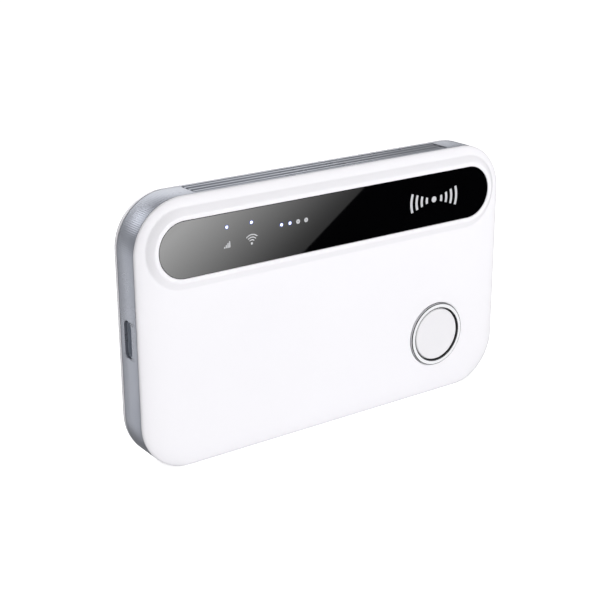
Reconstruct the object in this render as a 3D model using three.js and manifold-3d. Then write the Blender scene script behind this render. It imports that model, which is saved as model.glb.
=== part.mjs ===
// A pocket mobile hotspot: a white front cover with a black stadium window and a chrome-ringed
// power button, a grey band round the edge with a USB-C socket and a ribbed strip, a white rear
// cover that pulls off, and the board, battery, SIM card and antennas inside.
//
// Millimetres. X runs across the front, to the right as one faces it. Y runs from the front
// (negative) to the back. Z is up, and z = 0 is the bottom edge that the object stands on.

import * as THREE from 'three';
import { mergeVertices } from 'three/addons/utils/BufferGeometryUtils.js';
import Module from 'manifold-3d';

const wasm = await Module();
wasm.setup();

// ---------------------------------------------------------------- driving dimensions

// Casing seen from the front, and the clearances used throughout.
const casing = { width: 103.6, height: 63, corner: 12.2, bandWall: 1.7 };
const seamGap = 0.3; // open seam between a cover and the band
const fitGap = 0.3; // between a cover's lip or tabs and the inside of the band
const solderGap = 0.1; // between the board and a part on it
const middleZ = casing.height / 2;

// Planes across the depth, front to back.
const plane = {
  rimCrest: -7.35, // top of the rim round the window
  face: -6.6, // flat of the front cover
  coverInside: -5.3,
  frontSeam: -4.9,
  boardFront: -3.3,
  boardBack: -2.5,
  trayFront: -0.7,
  trayBack: 0.1,
  rearSeam: 2.45,
  rearInside: 6.05,
  back: 7.35
};
const coverEdge = plane.frontSeam - seamGap / 2;
const bandFront = plane.frontSeam + seamGap / 2;
const bandBack = plane.rearSeam - seamGap / 2;
const rearEdge = plane.rearSeam + seamGap / 2;
const onBoardFront = plane.boardFront - solderGap;
const onBoardBack = plane.boardBack + solderGap;

// Front cover: the crown is the roll-over of its edge, the lip stands inside the band.
const crown = { inset: 8 };
const coverHollow = { inset: 1.9, ramp: 2.5 };
const lip = { depth: 1.3, width: 0.9, root: 0.5 };
const boss = { radius: 1.7, hole: 0.8, floor: -5, root: 0.2 };

// Window opening, with the rim round it: a flat crest and a rounded slope outside that.
const opening = { halfLength: 46.93, halfHeight: 6.55, z: 51.62, floor: -5.85, ledge: 2 };
const rim = { crest: 1, slope: 1.6, rise: 1.46 };
const pane = { front: -7.2, back: -6.3, gap: 0.15 };
const adhesive = { front: -6.2, back: -6, outerInset: 0.5, innerInset: 1.8 };

// Power button, its ring and its switch.
const button = { x: 31.7, z: 16.13, radius: 6.6, flangeRadius: 7.5, flangeFront: -5.1, back: -4.7 };
const dish = { middleY: -6.65, floorRadius: 3.6, floorY: -6.72, crestInset: 0.4, crestY: -6.85, edgeY: -6.6 };
const ring = { innerRadius: 6.8, outerRadius: 8.25, front: -7.05, back: -5.8, rounding: 0.35, gap: 0.15 };
const ringHole = { radius: 7.1, seat: -5.7 };
const powerSwitch = { half: 2.5, front: -4.1, boreRadius: 1.3, boreEnd: -3.45 };
const plunger = { radius: 1.05, front: -4.6, back: -3.85 };

// Ribbed strip in the top of the band.
const strip = { halfLength: 35.8, front: -4.3, back: 1.85, recess: 1, gap: 0.2 };
const ridge = { count: 3, height: 0.3 };

// USB-C socket: its mouth faces left and its long way stands upright.
const usb = { mouthX: -51.2, y: -0.85, z: 31.6, width: 8.94, height: 3.2, length: 7.35, wall: 0.3 };
const usbMouthGap = 0.25;
const tongue = { width: 6.7, thickness: 0.7, length: 5.6, gap: 0.1 };
const tongueHeel = { width: 7.2, thickness: 2, length: 1.6 };

// Board, tray and screws.
const board = { halfWidth: 49.2, halfHeight: 28.9, corner: 9.6 };
const tray = { halfWidth: 49.6, halfHeight: 29.3, corner: 10, wall: 1, wallBack: 4.6, root: 0.2 };
const usbNotch = { right: -43.3, halfHeight: 5 };
const screw = { headRadius: 1.3, headHeight: 0.8, shankRadius: 0.6, tip: -4.7 };
const crossSlot = { half: 0.75, width: 0.3 };
const screwPlaces = [
  [-44.2, 42],
  [-44.2, 21],
  [46.6, 42],
  [46.6, 21],
  [-20, 5.3],
  [20, 5.3]
];

// Battery and its contacts. The contacts' heights are counted from the block's middle.
const battery = { left: -37, right: 23, bottom: 9, top: 54, front: 0.4, back: 5.4, corner: 2.2, room: 0.4 };
const padRecess = { depth: 0.6, front: 1.2, back: 3.4, halfHeight: 0.9 };
const batteryLabel = { left: -34, right: 20, bottom: 12, top: 51, front: 5.5 };
const trayLabel = { left: -30, right: 16, bottom: 14, top: 49, front: 0.2 };
const labelThickness = 0.1;
const contactBlock = { left: 23.9, right: 26.5, z: 44, halfHeight: 6.4, front: 0.3, back: 3.6, room: 0.3 };
const contactSlot = { right: 25.7, front: 1.2, back: 2.9, halfHeight: 0.8 };
const contact = { count: 4, pitch: 3, y: 1.35, height: 1.3, width: 1 };
const contactStrip = { footX: 1.55, noseX: -1.2, thickness: 0.25 };

// SIM card, its holder, and the hatch in the tray through which a finger reaches it.
const simSocket = { x: 35.2, halfWidth: 7.1, bottom: 33.5, top: 47, back: -0.85 };
const simChannel = { halfWidth: 6.15, top: 46, front: -2.1, back: -1.15 };
const thumbNotch = { halfWidth: 3.2, height: 5 };
const simCard = { halfWidth: 6, length: 15, top: 45.7, front: -2, back: -1.25, cutCorner: 2.2 };
const simHatch = { left: 27, right: 43.4, bottom: 15.5, top: 48.5 };

// Reset button, pressed towards the front against its switch.
const reset = { x: 38, z: 10.5, radius: 1.4, hole: 1.7, front: -1.2, back: 0.8 };
const resetFlange = { radius: 1.9, front: -1.25, back: -0.9 };
const resetTip = { radius: 0.6, front: -1.4, back: -1 };
const resetSwitch = { half: 1.5, back: -1.75 };

// Lamps behind the window, as places from the window's middle.
const statusLamps = [
  [-29.85, 3.25],
  [-23.45, 3.25]
];
const batteryLamps = [
  [-15.45, 1.3],
  [-13.15, 1.3],
  [-10.9, 1.3],
  [-8.7, 1.3]
];
const lamp = { halfWidth: 0.8, halfHeight: 0.4, depth: 0.5 };
const lightBlock = { left: -34, right: -4.5, halfHeight: 4, front: -6.1, back: -4.1, hole: 0.7 };

const can = { depth: 1.5, wall: 0.25 };
const shieldCans = [
  { name: 'modem_shield', left: -37, bottom: 23, width: 32, height: 27 },
  { name: 'wifi_shield', left: -1, bottom: 28, width: 23, height: 22 },
  { name: 'power_shield', left: -34, bottom: 8.5, width: 26, height: 11 }
];
const chipDepth = 1;
const chips = [
  { name: 'modem_chip', left: -33, bottom: 29, width: 13, height: 13 },
  { name: 'memory_chip', left: -17, bottom: 30, width: 9, height: 11 },
  { name: 'wifi_chip', left: 5, bottom: 34, width: 9, height: 9 },
  { name: 'power_chip', left: -25, bottom: 10.5, width: 7, height: 7 }
];
const foil = { front: 0.3, back: 0.6, slotReach: 0.6, slotHalf: 0.4 };
const antennas = [
  { name: 'main_antenna', left: -17.5, right: 17.5, bottom: 2.6, top: 7, slots: 7 },
  { name: 'diversity_antenna', left: -30, right: 5, bottom: 56.2, top: 60.2, slots: 7 },
  { name: 'wifi_antenna_left', left: -47, right: -39.5, bottom: 46, top: 53, slots: 2 },
  { name: 'wifi_antenna_right', left: 27, right: 42, bottom: 50.5, top: 56.5, slots: 4 }
];

// Rear cover: its tabs stand inside the band, three along each long edge and two up each side.
const rearCover = { crown: 7.5, wall: 1.3, innerCrown: 6.4 };
const tab = { depth: 1.4, root: 2.6, thickness: 0.9, halfWidth: 3.5 };
const tabPlaces = { alongX: [-30, 0, 30], upZ: [18, 45] };

const far = 120; // past everything here, for cutting tools
const sliver = 0.5; // how far a cutting tool runs past the face that it opens
const quarterTurn = Math.PI / 2;

// How finely round shapes are stepped. An extruded arc gets twice its number.
const smooth = { corner: 5, window: 9, crown: 6, rim: 4, ramp: 2, dial: 48, boss: 20, hole: 12 };

// ---------------------------------------------------------------- materials

function finish(color, roughness, metalness = 0) {
  return new THREE.MeshStandardMaterial({ color, roughness, metalness });
}

const whiteGloss = finish(0xf6f7f9, 0.2);
const greySatin = finish(0x969aa2, 0.45);
const blackWindow = finish(0x07080a, 0.05);
const chrome = finish(0xd4d6da, 0.1, 1);
const steel = finish(0xb4b7bb, 0.35, 1);
const gold = finish(0xd8b25a, 0.3, 1);
const blackPlastic = finish(0x1b1c1e, 0.6);
const boardGreen = finish(0x14503a, 0.55);
const chipBlack = finish(0x222326, 0.5);
const lampWhite = finish(0xeef4ff, 0.3);
const foamBlack = finish(0x2a2b2d, 0.95);
const copper = finish(0xb8744c, 0.4, 1);
const cellGrey = finish(0x4c4f55, 0.5);
const labelWhite = finish(0xe9eaec, 0.7);
const cardWhite = finish(0xf2f2ee, 0.5);

// ---------------------------------------------------------------- solids from geometries

// The closed solid of a geometry, with its shared corners merged and collapsed triangles dropped.
function solid(geometry) {
  geometry.deleteAttribute('normal');
  geometry.deleteAttribute('uv');
  const merged = mergeVertices(geometry);
  const corners = merged.index.array;
  const kept = [];
  for (let i = 0; i < corners.length; i += 3) {
    const [a, b, c] = corners.slice(i, i + 3);
    if (a !== b && b !== c && c !== a) kept.push(a, b, c);
  }
  return new wasm.Manifold(new wasm.Mesh({
    numProp: 3,
    vertProperties: new Float32Array(merged.attributes.position.array),
    triVerts: new Uint32Array(kept)
  }));
}

function join(first, ...others) {
  return others.reduce((whole, other) => whole.add(other), first);
}

function cut(first, ...tools) {
  return tools.reduce((whole, tool) => whole.subtract(tool), first);
}

function block(left, right, front, back, bottom, top) {
  const geometry = new THREE.BoxGeometry(right - left, back - front, top - bottom);
  geometry.translate((left + right) / 2, (front + back) / 2, (bottom + top) / 2);
  return solid(geometry);
}

// A cylinder along the depth.
function rod(x, z, radius, front, back, segments) {
  const geometry = new THREE.CylinderGeometry(radius, radius, back - front, segments);
  geometry.translate(x, (front + back) / 2, z);
  return solid(geometry);
}

// A body of revolution about the depth axis, from [radius, y] corners.
function turned(profile) {
  const corners = profile.map(([radius, y]) => new THREE.Vector2(radius, y));
  return solid(new THREE.LatheGeometry(corners, smooth.dial));
}

// An outline in X and Z pushed through the depth.
function extrude(outline, front, back, options) {
  const geometry = new THREE.ExtrudeGeometry(outline, { ...options, depth: back - front });
  geometry.rotateX(quarterTurn);
  geometry.translate(0, back, 0);
  return solid(geometry);
}

function slab(outline, front, back, curveSegments = smooth.corner) {
  return extrude(outline, front, back, { bevelEnabled: false, curveSegments });
}

// A slab between front and back whose edges roll over in a quarter ellipse, `inset` wide across
// the face and `rise` deep.
function pillow(outline, front, back, inset, rise, steps) {
  return extrude(outline, front + rise, back - rise, {
    bevelEnabled: true,
    bevelSize: inset,
    bevelOffset: -inset,
    bevelThickness: rise,
    bevelSegments: steps.bevel,
    curveSegments: steps.curve
  });
}

// What lies between two planes across the depth.
function layer(whole, front, back) {
  return whole.intersect(block(-far, far, front, back, -far, far));
}

// An outline with its long way across, pushed along X: its long way then stands upright.
function pushAcross(outline, left, right, y, z) {
  const geometry = new THREE.ExtrudeGeometry(outline, {
    bevelEnabled: false,
    depth: right - left,
    curveSegments: smooth.corner + 1
  });
  geometry.rotateY(quarterTurn);
  geometry.translate(left, y, z);
  return solid(geometry);
}

// ---------------------------------------------------------------- outlines

function roundedOutline(halfWidth, halfHeight, radius, x = 0, z = middleZ) {
  const right = x + halfWidth - radius;
  const left = x - halfWidth + radius;
  const top = z + halfHeight - radius;
  const bottom = z - halfHeight + radius;
  const outline = new THREE.Shape();
  outline.absarc(right, bottom, radius, -quarterTurn, 0);
  outline.absarc(right, top, radius, 0, quarterTurn);
  outline.absarc(left, top, radius, quarterTurn, 2 * quarterTurn);
  outline.absarc(left, bottom, radius, 2 * quarterTurn, 3 * quarterTurn);
  return outline;
}

function stadiumOutline(halfLength, halfHeight, z = 0) {
  const outline = new THREE.Shape();
  outline.absarc(halfLength - halfHeight, z, halfHeight, -quarterTurn, quarterTurn);
  outline.absarc(halfHeight - halfLength, z, halfHeight, quarterTurn, 3 * quarterTurn);
  return outline;
}

function casingOutline(inset) {
  return roundedOutline(casing.width / 2 - inset, middleZ - inset, casing.corner - inset);
}

function windowOutline(inset) {
  return stadiumOutline(opening.halfLength - inset, opening.halfHeight - inset, opening.z);
}

// ---------------------------------------------------------------- scene graph

const hotspot = new THREE.Group();

function group(x = 0, y = 0, z = 0) {
  const nested = new THREE.Group();
  nested.position.set(x, y, z);
  hotspot.add(nested);
  return nested;
}

function add(parent, name, whole, material, x = 0, y = 0, z = 0) {
  const { vertProperties, triVerts } = whole.getMesh();
  const geometry = new THREE.BufferGeometry();
  geometry.setAttribute('position', new THREE.BufferAttribute(vertProperties, 3));
  geometry.setIndex(new THREE.BufferAttribute(triVerts, 1));
  geometry.computeVertexNormals();
  const mesh = new THREE.Mesh(geometry, material);
  mesh.name = name;
  mesh.position.set(x, y, z);
  parent.add(mesh);
}

// ---------------------------------------------------------------- front cover and window

function frontShell() {
  const crownSteps = { bevel: smooth.crown, curve: smooth.corner };
  const rimSteps = { bevel: smooth.rim, curve: smooth.window };
  const hollowSteps = { bevel: smooth.ramp, curve: smooth.corner };
  const outside = pillow(casingOutline(0), plane.face, far, crown.inset, coverEdge - plane.face, crownSteps);
  const raisedRim = pillow(
    windowOutline(-rim.crest - rim.slope), plane.rimCrest, far, rim.slope, rim.rise, rimSteps);
  const inside = pillow(casingOutline(coverHollow.inset), plane.coverInside, far, coverHollow.ramp,
    coverEdge - plane.coverInside, hollowSteps);
  return cut(
    join(layer(outside, -far, coverEdge), layer(raisedRim, -far, plane.coverInside)),
    layer(inside, -far, coverEdge + sliver));
}

function frontLip() {
  const inset = casing.bandWall + fitGap;
  return cut(
    slab(casingOutline(inset), coverEdge - lip.root, coverEdge + lip.depth),
    slab(casingOutline(inset + lip.width), -far, far));
}

function screwBoss([x, z]) {
  return cut(
    rod(x, z, boss.radius, plane.coverInside - boss.root, onBoardFront, smooth.boss),
    rod(x, z, boss.hole, boss.floor, plane.boardFront, smooth.hole));
}

function frontCoverSolid() {
  return cut(
    join(frontShell(), frontLip(), ...screwPlaces.map(screwBoss)),
    slab(windowOutline(0), -far, opening.floor, smooth.window),
    slab(windowOutline(opening.ledge), -far, far, smooth.window),
    rod(button.x, button.z, ring.outerRadius + ring.gap, -far, ringHole.seat, smooth.dial),
    rod(button.x, button.z, ringHole.radius, -far, far, smooth.dial));
}

function windowPane() {
  return slab(windowOutline(pane.gap), pane.front, pane.back, smooth.window);
}

function adhesiveSolid() {
  return cut(
    slab(windowOutline(adhesive.outerInset), adhesive.front, adhesive.back, smooth.window),
    slab(windowOutline(adhesive.innerInset), -far, far, smooth.window));
}

// A light-tight block with one hole in front of each lamp.
function lightBlockSolid() {
  const { left, right, halfHeight, front, back, hole } = lightBlock;
  const bar = block(left, right, front, back, opening.z - halfHeight, opening.z + halfHeight);
  const holes = [...statusLamps, ...batteryLamps].map(([x, z]) =>
    rod(x, opening.z + z, hole, -far, far, smooth.hole));
  return cut(bar, ...holes);
}

const front = group();
add(front, 'front_cover', frontCoverSolid(), whiteGloss);
add(front, 'display_window', windowPane(), blackWindow);
add(front, 'window_adhesive', adhesiveSolid(), foamBlack);
add(front, 'light_block', lightBlockSolid(), blackPlastic);

// ---------------------------------------------------------------- power button, about its own middle

// The ring's front edge is rounded off both ways.
function ringSolid() {
  const { innerRadius, outerRadius, front: crest, back, rounding } = ring;
  return turned([
    [innerRadius, back],
    [innerRadius, crest + rounding],
    [innerRadius + rounding, crest],
    [outerRadius - rounding, crest],
    [outerRadius, crest + rounding],
    [outerRadius, back],
    [innerRadius, back]
  ]);
}

// The cap is slightly dished, and its flange behind the cover keeps it in.
function capSolid() {
  return turned([
    [0, dish.middleY],
    [dish.floorRadius, dish.floorY],
    [button.radius - dish.crestInset, dish.crestY],
    [button.radius, dish.edgeY],
    [button.radius, button.flangeFront],
    [button.flangeRadius, button.flangeFront],
    [button.flangeRadius, button.back],
    [0, button.back]
  ]);
}

function powerSwitchSolid() {
  const { half, front: switchFront, boreRadius, boreEnd } = powerSwitch;
  return cut(
    block(-half, half, switchFront, onBoardFront, -half, half),
    rod(0, 0, boreRadius, -far, boreEnd, smooth.boss));
}

const buttonGroup = group(button.x, 0, button.z);
const plungerSolid = rod(0, 0, plunger.radius, plunger.front, plunger.back, smooth.boss);
add(buttonGroup, 'button_ring', ringSolid(), chrome);
add(buttonGroup, 'power_button', capSolid(), whiteGloss);
add(buttonGroup, 'switch_plunger', plungerSolid, blackPlastic);
add(buttonGroup, 'power_switch', powerSwitchSolid(), steel);

// ---------------------------------------------------------------- edge band and ribbed strip

function midFrameSolid() {
  const mouth = stadiumOutline(usb.width / 2 + usbMouthGap, usb.height / 2 + usbMouthGap);
  const leftWall = -casing.width / 2;
  return cut(
    slab(casingOutline(0), bandFront, bandBack),
    slab(casingOutline(casing.bandWall), -far, far),
    pushAcross(mouth, leftWall - sliver, leftWall + casing.bandWall + sliver, usb.y, usb.z),
    block(-strip.halfLength, strip.halfLength, strip.front, strip.back, casing.height - strip.recess, far));
}

// Rounded ridges run the length of the strip, drawn across it with the top of the band as zero.
function stripSolid() {
  const width = strip.back - strip.front - 2 * strip.gap;
  const length = 2 * (strip.halfLength - strip.gap);
  const bottom = strip.gap - strip.recess;
  const pitch = width / ridge.count;
  const profile = new THREE.Shape();
  profile.moveTo(0, bottom);
  profile.lineTo(0, -ridge.height);
  for (let i = 1; i <= ridge.count; i++) {
    profile.quadraticCurveTo((i - 0.5) * pitch, ridge.height, i * pitch, -ridge.height);
  }
  profile.lineTo(width, bottom);
  const geometry = new THREE.ExtrudeGeometry(profile, {
    bevelEnabled: false,
    depth: length,
    curveSegments: smooth.crown
  });
  geometry.rotateX(quarterTurn);
  geometry.rotateZ(quarterTurn);
  geometry.translate(-length / 2, strip.front + strip.gap, 0);
  return solid(geometry);
}

const edge = group();
add(edge, 'mid_frame', midFrameSolid(), greySatin);
add(edge, 'top_strip', stripSolid(), greySatin, 0, 0, casing.height);

// ---------------------------------------------------------------- board and what is soldered to it

function screwHoles() {
  return screwPlaces.map(([x, z]) => rod(x, z, boss.hole, -far, far, smooth.hole));
}

function mainBoardSolid() {
  const outline = roundedOutline(board.halfWidth, board.halfHeight, board.corner);
  return cut(slab(outline, plane.boardFront, plane.boardBack), ...screwHoles());
}

// A pressed metal can, open towards the board.
function canSolid({ left, bottom, width, height }) {
  const right = left + width;
  const top = bottom + height;
  const lid = onBoardBack + can.depth;
  const { wall } = can;
  return cut(
    block(left, right, onBoardBack, lid, bottom, top),
    block(left + wall, right - wall, -far, lid - wall, bottom + wall, top - wall));
}

function chipSolid({ left, bottom, width, height }) {
  return block(left, left + width, onBoardBack, onBoardBack + chipDepth, bottom, bottom + height);
}

function lampSolid() {
  return block(-lamp.halfWidth, lamp.halfWidth, -lamp.depth, 0, -lamp.halfHeight, lamp.halfHeight);
}

// The shell is a flattened tube, open at its mouth and closed at its heel.
function usbShellSolid() {
  const { mouthX, length, width, height, wall, y, z } = usb;
  const outside = stadiumOutline(width / 2, height / 2);
  const inside = stadiumOutline(width / 2 - wall, height / 2 - wall);
  return cut(
    pushAcross(outside, mouthX, mouthX + length, y, z),
    pushAcross(inside, mouthX - sliver, mouthX + length - wall, y, z));
}

function usbTongueSolid() {
  const root = usb.mouthX + usb.length - usb.wall - tongue.gap;
  const bar = ({ length, thickness, width }) => block(root - length, root,
    usb.y - thickness / 2, usb.y + thickness / 2, usb.z - width / 2, usb.z + width / 2);
  return join(bar(tongue), bar(tongueHeel));
}

// The holder is a flat metal sleeve, open at the bottom, with a notch that bares the card's end.
function simSocketSolid() {
  const { x, halfWidth, bottom, top, back } = simSocket;
  const channel = block(x - simChannel.halfWidth, x + simChannel.halfWidth,
    simChannel.front, simChannel.back, -far, simChannel.top);
  const notch = block(x - thumbNotch.halfWidth, x + thumbNotch.halfWidth,
    simChannel.front, far, -far, bottom + thumbNotch.height);
  return cut(block(x - halfWidth, x + halfWidth, onBoardBack, back, bottom, top), channel, notch);
}

function simCardSolid() {
  const { halfWidth, length, top, front: cardFront, back, cutCorner } = simCard;
  const outline = new THREE.Shape();
  outline.moveTo(-halfWidth, top - length);
  outline.lineTo(halfWidth, top - length);
  outline.lineTo(halfWidth, top - cutCorner);
  outline.lineTo(halfWidth - cutCorner, top);
  outline.lineTo(-halfWidth, top);
  return slab(outline, cardFront, back);
}

function resetButtonSolid() {
  return join(
    rod(0, 0, reset.radius, reset.front, reset.back, smooth.boss),
    rod(0, 0, resetFlange.radius, resetFlange.front, resetFlange.back, smooth.boss),
    rod(0, 0, resetTip.radius, resetTip.front, resetTip.back, smooth.hole));
}

function resetSwitchSolid() {
  const { half, back } = resetSwitch;
  return block(-half, half, onBoardBack, back, -half, half);
}

const boardGroup = group();
add(boardGroup, 'main_board', mainBoardSolid(), boardGreen);
for (const shield of shieldCans) {
  add(boardGroup, shield.name, canSolid(shield), steel);
}
for (const chip of chips) {
  add(boardGroup, chip.name, chipSolid(chip), chipBlack);
}
add(boardGroup, 'usb_shell', usbShellSolid(), steel);
add(boardGroup, 'usb_tongue', usbTongueSolid(), blackPlastic);
add(boardGroup, 'sim_socket', simSocketSolid(), steel);
add(boardGroup, 'sim_card', simCardSolid(), cardWhite, simSocket.x);

const lampGroup = group(0, onBoardFront, opening.z);
for (const [kind, places] of [['status', statusLamps], ['battery', batteryLamps]]) {
  places.forEach(([x, z], i) => add(lampGroup, `${kind}_led_${i + 1}`, lampSolid(), lampWhite, x, 0, z));
}

const resetGroup = group(reset.x, 0, reset.z);
add(resetGroup, 'reset_button', resetButtonSolid(), blackPlastic);
add(resetGroup, 'reset_switch', resetSwitchSolid(), blackPlastic);

// ---------------------------------------------------------------- tray, screws, antennas

// The wall that boxes the battery in, cut away beside the contact block.
function batteryWall() {
  const { left, right, bottom, top, room } = battery;
  const around = (grow, from, to) =>
    block(left - room - grow, right + room + grow, from, to, bottom - room - grow, top + room + grow);
  const { left: blockLeft, right: blockRight, z, halfHeight, room: blockRoom } = contactBlock;
  return cut(
    around(tray.wall, plane.trayBack - tray.root, tray.wallBack),
    around(0, plane.trayBack, far),
    block(blockLeft - tray.wall, blockRight + blockRoom, plane.trayBack, far,
      z - halfHeight - blockRoom, z + halfHeight + blockRoom));
}

function traySolid() {
  const outline = roundedOutline(tray.halfWidth, tray.halfHeight, tray.corner);
  const plate = slab(outline, plane.trayFront, plane.trayBack);
  const standoffs = screwPlaces.map(([x, z]) =>
    rod(x, z, boss.radius, onBoardBack, plane.trayFront + tray.root, smooth.boss));
  return cut(
    join(plate, batteryWall(), ...standoffs),
    ...screwHoles(),
    block(-far, usbNotch.right, -far, far, usb.z - usbNotch.halfHeight, usb.z + usbNotch.halfHeight),
    block(simHatch.left, simHatch.right, -far, far, simHatch.bottom, simHatch.top),
    rod(reset.x, reset.z, reset.hole, -far, far, smooth.boss));
}

// A pan-head screw with a cross slot, its underside at zero.
function screwSolid() {
  const { headRadius, headHeight, shankRadius, tip } = screw;
  const long = crossSlot.half;
  const short = crossSlot.width / 2;
  return cut(
    join(
      rod(0, 0, headRadius, 0, headHeight, smooth.boss),
      rod(0, 0, shankRadius, tip, headHeight / 2, smooth.hole)),
    block(-long, long, headHeight / 2, far, -short, short),
    block(-short, short, headHeight / 2, far, -long, long));
}

// A flat foil with slots cut in from its long edges by turns.
function antennaSolid({ left, right, bottom, top, slots }) {
  const reach = (top - bottom) * foil.slotReach;
  const step = (right - left) / (slots + 1);
  const tools = [];
  for (let i = 1; i <= slots; i++) {
    const x = left + i * step;
    const [low, high] = i % 2 ? [-far, bottom + reach] : [top - reach, far];
    tools.push(block(x - foil.slotHalf, x + foil.slotHalf, -far, far, low, high));
  }
  return cut(block(left, right, foil.front, foil.back, bottom, top), ...tools);
}

const trayGroup = group();
add(trayGroup, 'battery_tray', traySolid(), blackPlastic);
for (const antenna of antennas) {
  add(trayGroup, antenna.name, antennaSolid(antenna), copper);
}

const screwGroup = group(0, plane.trayBack + solderGap, 0);
screwPlaces.forEach(([x, z], i) => add(screwGroup, `tray_screw_${i + 1}`, screwSolid(), steel, x, 0, z));

// ---------------------------------------------------------------- battery and its contacts

function contactHeights() {
  const { count, pitch } = contact;
  return Array.from({ length: count }, (_, i) => contactBlock.z + (i - (count - 1) / 2) * pitch);
}

function batterySolid() {
  const { left, right, bottom, top, front: cellFront, back, corner } = battery;
  const middle = [(left + right) / 2, (bottom + top) / 2];
  const outline = roundedOutline((right - left) / 2, (top - bottom) / 2, corner, ...middle);
  const recesses = contactHeights().map((z) => block(right - padRecess.depth, far,
    padRecess.front, padRecess.back, z - padRecess.halfHeight, z + padRecess.halfHeight));
  return cut(slab(outline, cellFront, back, smooth.ramp), ...recesses);
}

function contactBlockSolid() {
  const { left, right, front: blockFront, back, halfHeight, z } = contactBlock;
  const slots = contactHeights().map((height) => block(-far, contactSlot.right,
    contactSlot.front, contactSlot.back, height - contactSlot.halfHeight, height + contactSlot.halfHeight));
  return cut(block(left, right, blockFront, back, z - halfHeight, z + halfHeight), ...slots);
}

// A bent strip spring: its foot stands in the block and its nose leans out into the battery.
function contactSolid() {
  const { height, width } = contact;
  const { footX, noseX, thickness } = contactStrip;
  const outline = new THREE.Shape();
  outline.moveTo(footX, 0);
  outline.lineTo(footX, height);
  outline.lineTo(noseX, height / 2 + thickness);
  outline.lineTo(noseX, height / 2);
  outline.lineTo(footX - thickness, height - thickness);
  outline.lineTo(footX - thickness, 0);
  const geometry = new THREE.ExtrudeGeometry(outline, { bevelEnabled: false, depth: width });
  geometry.translate(0, 0, -width / 2);
  return solid(geometry);
}

function labelSolid({ left, right, bottom, top, front: labelFront }) {
  return block(left, right, labelFront, labelFront + labelThickness, bottom, top);
}

const powerGroup = group();
add(powerGroup, 'battery', batterySolid(), cellGrey);
add(powerGroup, 'battery_label', labelSolid(batteryLabel), labelWhite);
add(powerGroup, 'tray_label', labelSolid(trayLabel), labelWhite);
add(powerGroup, 'contact_block', contactBlockSolid(), blackPlastic);
contactHeights().forEach((z, i) =>
  add(powerGroup, `battery_contact_${i + 1}`, contactSolid(), gold, contactBlock.left, contact.y, z));

// ---------------------------------------------------------------- rear cover

function rearShell() {
  const steps = { bevel: smooth.crown, curve: smooth.corner };
  const outside = pillow(casingOutline(0), -far, plane.back, rearCover.crown, plane.back - rearEdge, steps);
  const inside = pillow(casingOutline(rearCover.wall), -far, plane.rearInside, rearCover.innerCrown,
    plane.rearInside - rearEdge, steps);
  return cut(layer(outside, rearEdge, far), layer(inside, rearEdge - sliver, far));
}

function rearTabs() {
  const inset = casing.bandWall + fitGap;
  const skirt = cut(
    slab(casingOutline(inset), rearEdge - tab.depth, rearEdge + tab.root),
    slab(casingOutline(inset + tab.thickness), -far, far));
  const half = tab.halfWidth;
  const across = tabPlaces.alongX.map((x) => block(x - half, x + half, -far, far, -far, far));
  const upright = tabPlaces.upZ.map((z) => block(-far, far, -far, far, z - half, z + half));
  return skirt.intersect(join(...across, ...upright));
}

add(group(), 'rear_cover', join(rearShell(), rearTabs()), whiteGloss);

export default hotspot;
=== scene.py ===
# A pocket mobile hotspot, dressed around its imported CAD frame. Lengths are in millimetres until a
# mesh is made, x across the front, y from front to back, z up.
import math

import bmesh
import bpy
import numpy as np
from mathutils import Matrix, Vector
from mathutils.geometry import delaunay_2d_cdt


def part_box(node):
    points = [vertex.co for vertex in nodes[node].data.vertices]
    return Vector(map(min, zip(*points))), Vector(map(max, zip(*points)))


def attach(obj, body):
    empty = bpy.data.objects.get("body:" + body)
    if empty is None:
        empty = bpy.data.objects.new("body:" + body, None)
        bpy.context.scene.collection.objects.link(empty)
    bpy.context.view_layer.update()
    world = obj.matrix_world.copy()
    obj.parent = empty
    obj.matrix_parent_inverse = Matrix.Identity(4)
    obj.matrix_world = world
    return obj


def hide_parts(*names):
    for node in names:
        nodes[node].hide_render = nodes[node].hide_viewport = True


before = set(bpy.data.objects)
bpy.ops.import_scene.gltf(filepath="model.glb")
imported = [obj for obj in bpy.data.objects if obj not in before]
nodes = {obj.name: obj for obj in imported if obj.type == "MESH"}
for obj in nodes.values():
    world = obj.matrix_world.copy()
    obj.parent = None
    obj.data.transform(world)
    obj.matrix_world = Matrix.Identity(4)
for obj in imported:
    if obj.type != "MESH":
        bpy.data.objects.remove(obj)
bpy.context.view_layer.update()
mm = 0.001

print("frame loaded:", len(nodes), "nodes")


def boxOf(node):  # a node's two corners in millimetres
    low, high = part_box(node)
    return np.array(low) / mm, np.array(high) / mm


# ---- materials


def colour(hexText):  # sRGB hex to a linear colour
    parts = [int(hexText[i:i + 2], 16) / 255 for i in (1, 3, 5)]
    linear = [c / 12.92 if c <= 0.04045 else ((c + 0.055) / 1.055) ** 2.4 for c in parts]
    return (*linear, 1.0)


def perMetre(sizeMm):  # texture scale for a feature of this size
    return 1 / (sizeMm * mm)


def addNode(tree, kind, inputs=None, **settings):
    node = tree.nodes.new(kind)
    for name, value in settings.items():
        setattr(node, name, value)
    for name, value in (inputs or {}).items():
        if isinstance(value, bpy.types.NodeSocket):
            tree.links.new(value, node.inputs[name])
        else:
            node.inputs[name].default_value = value
    return node


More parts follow.
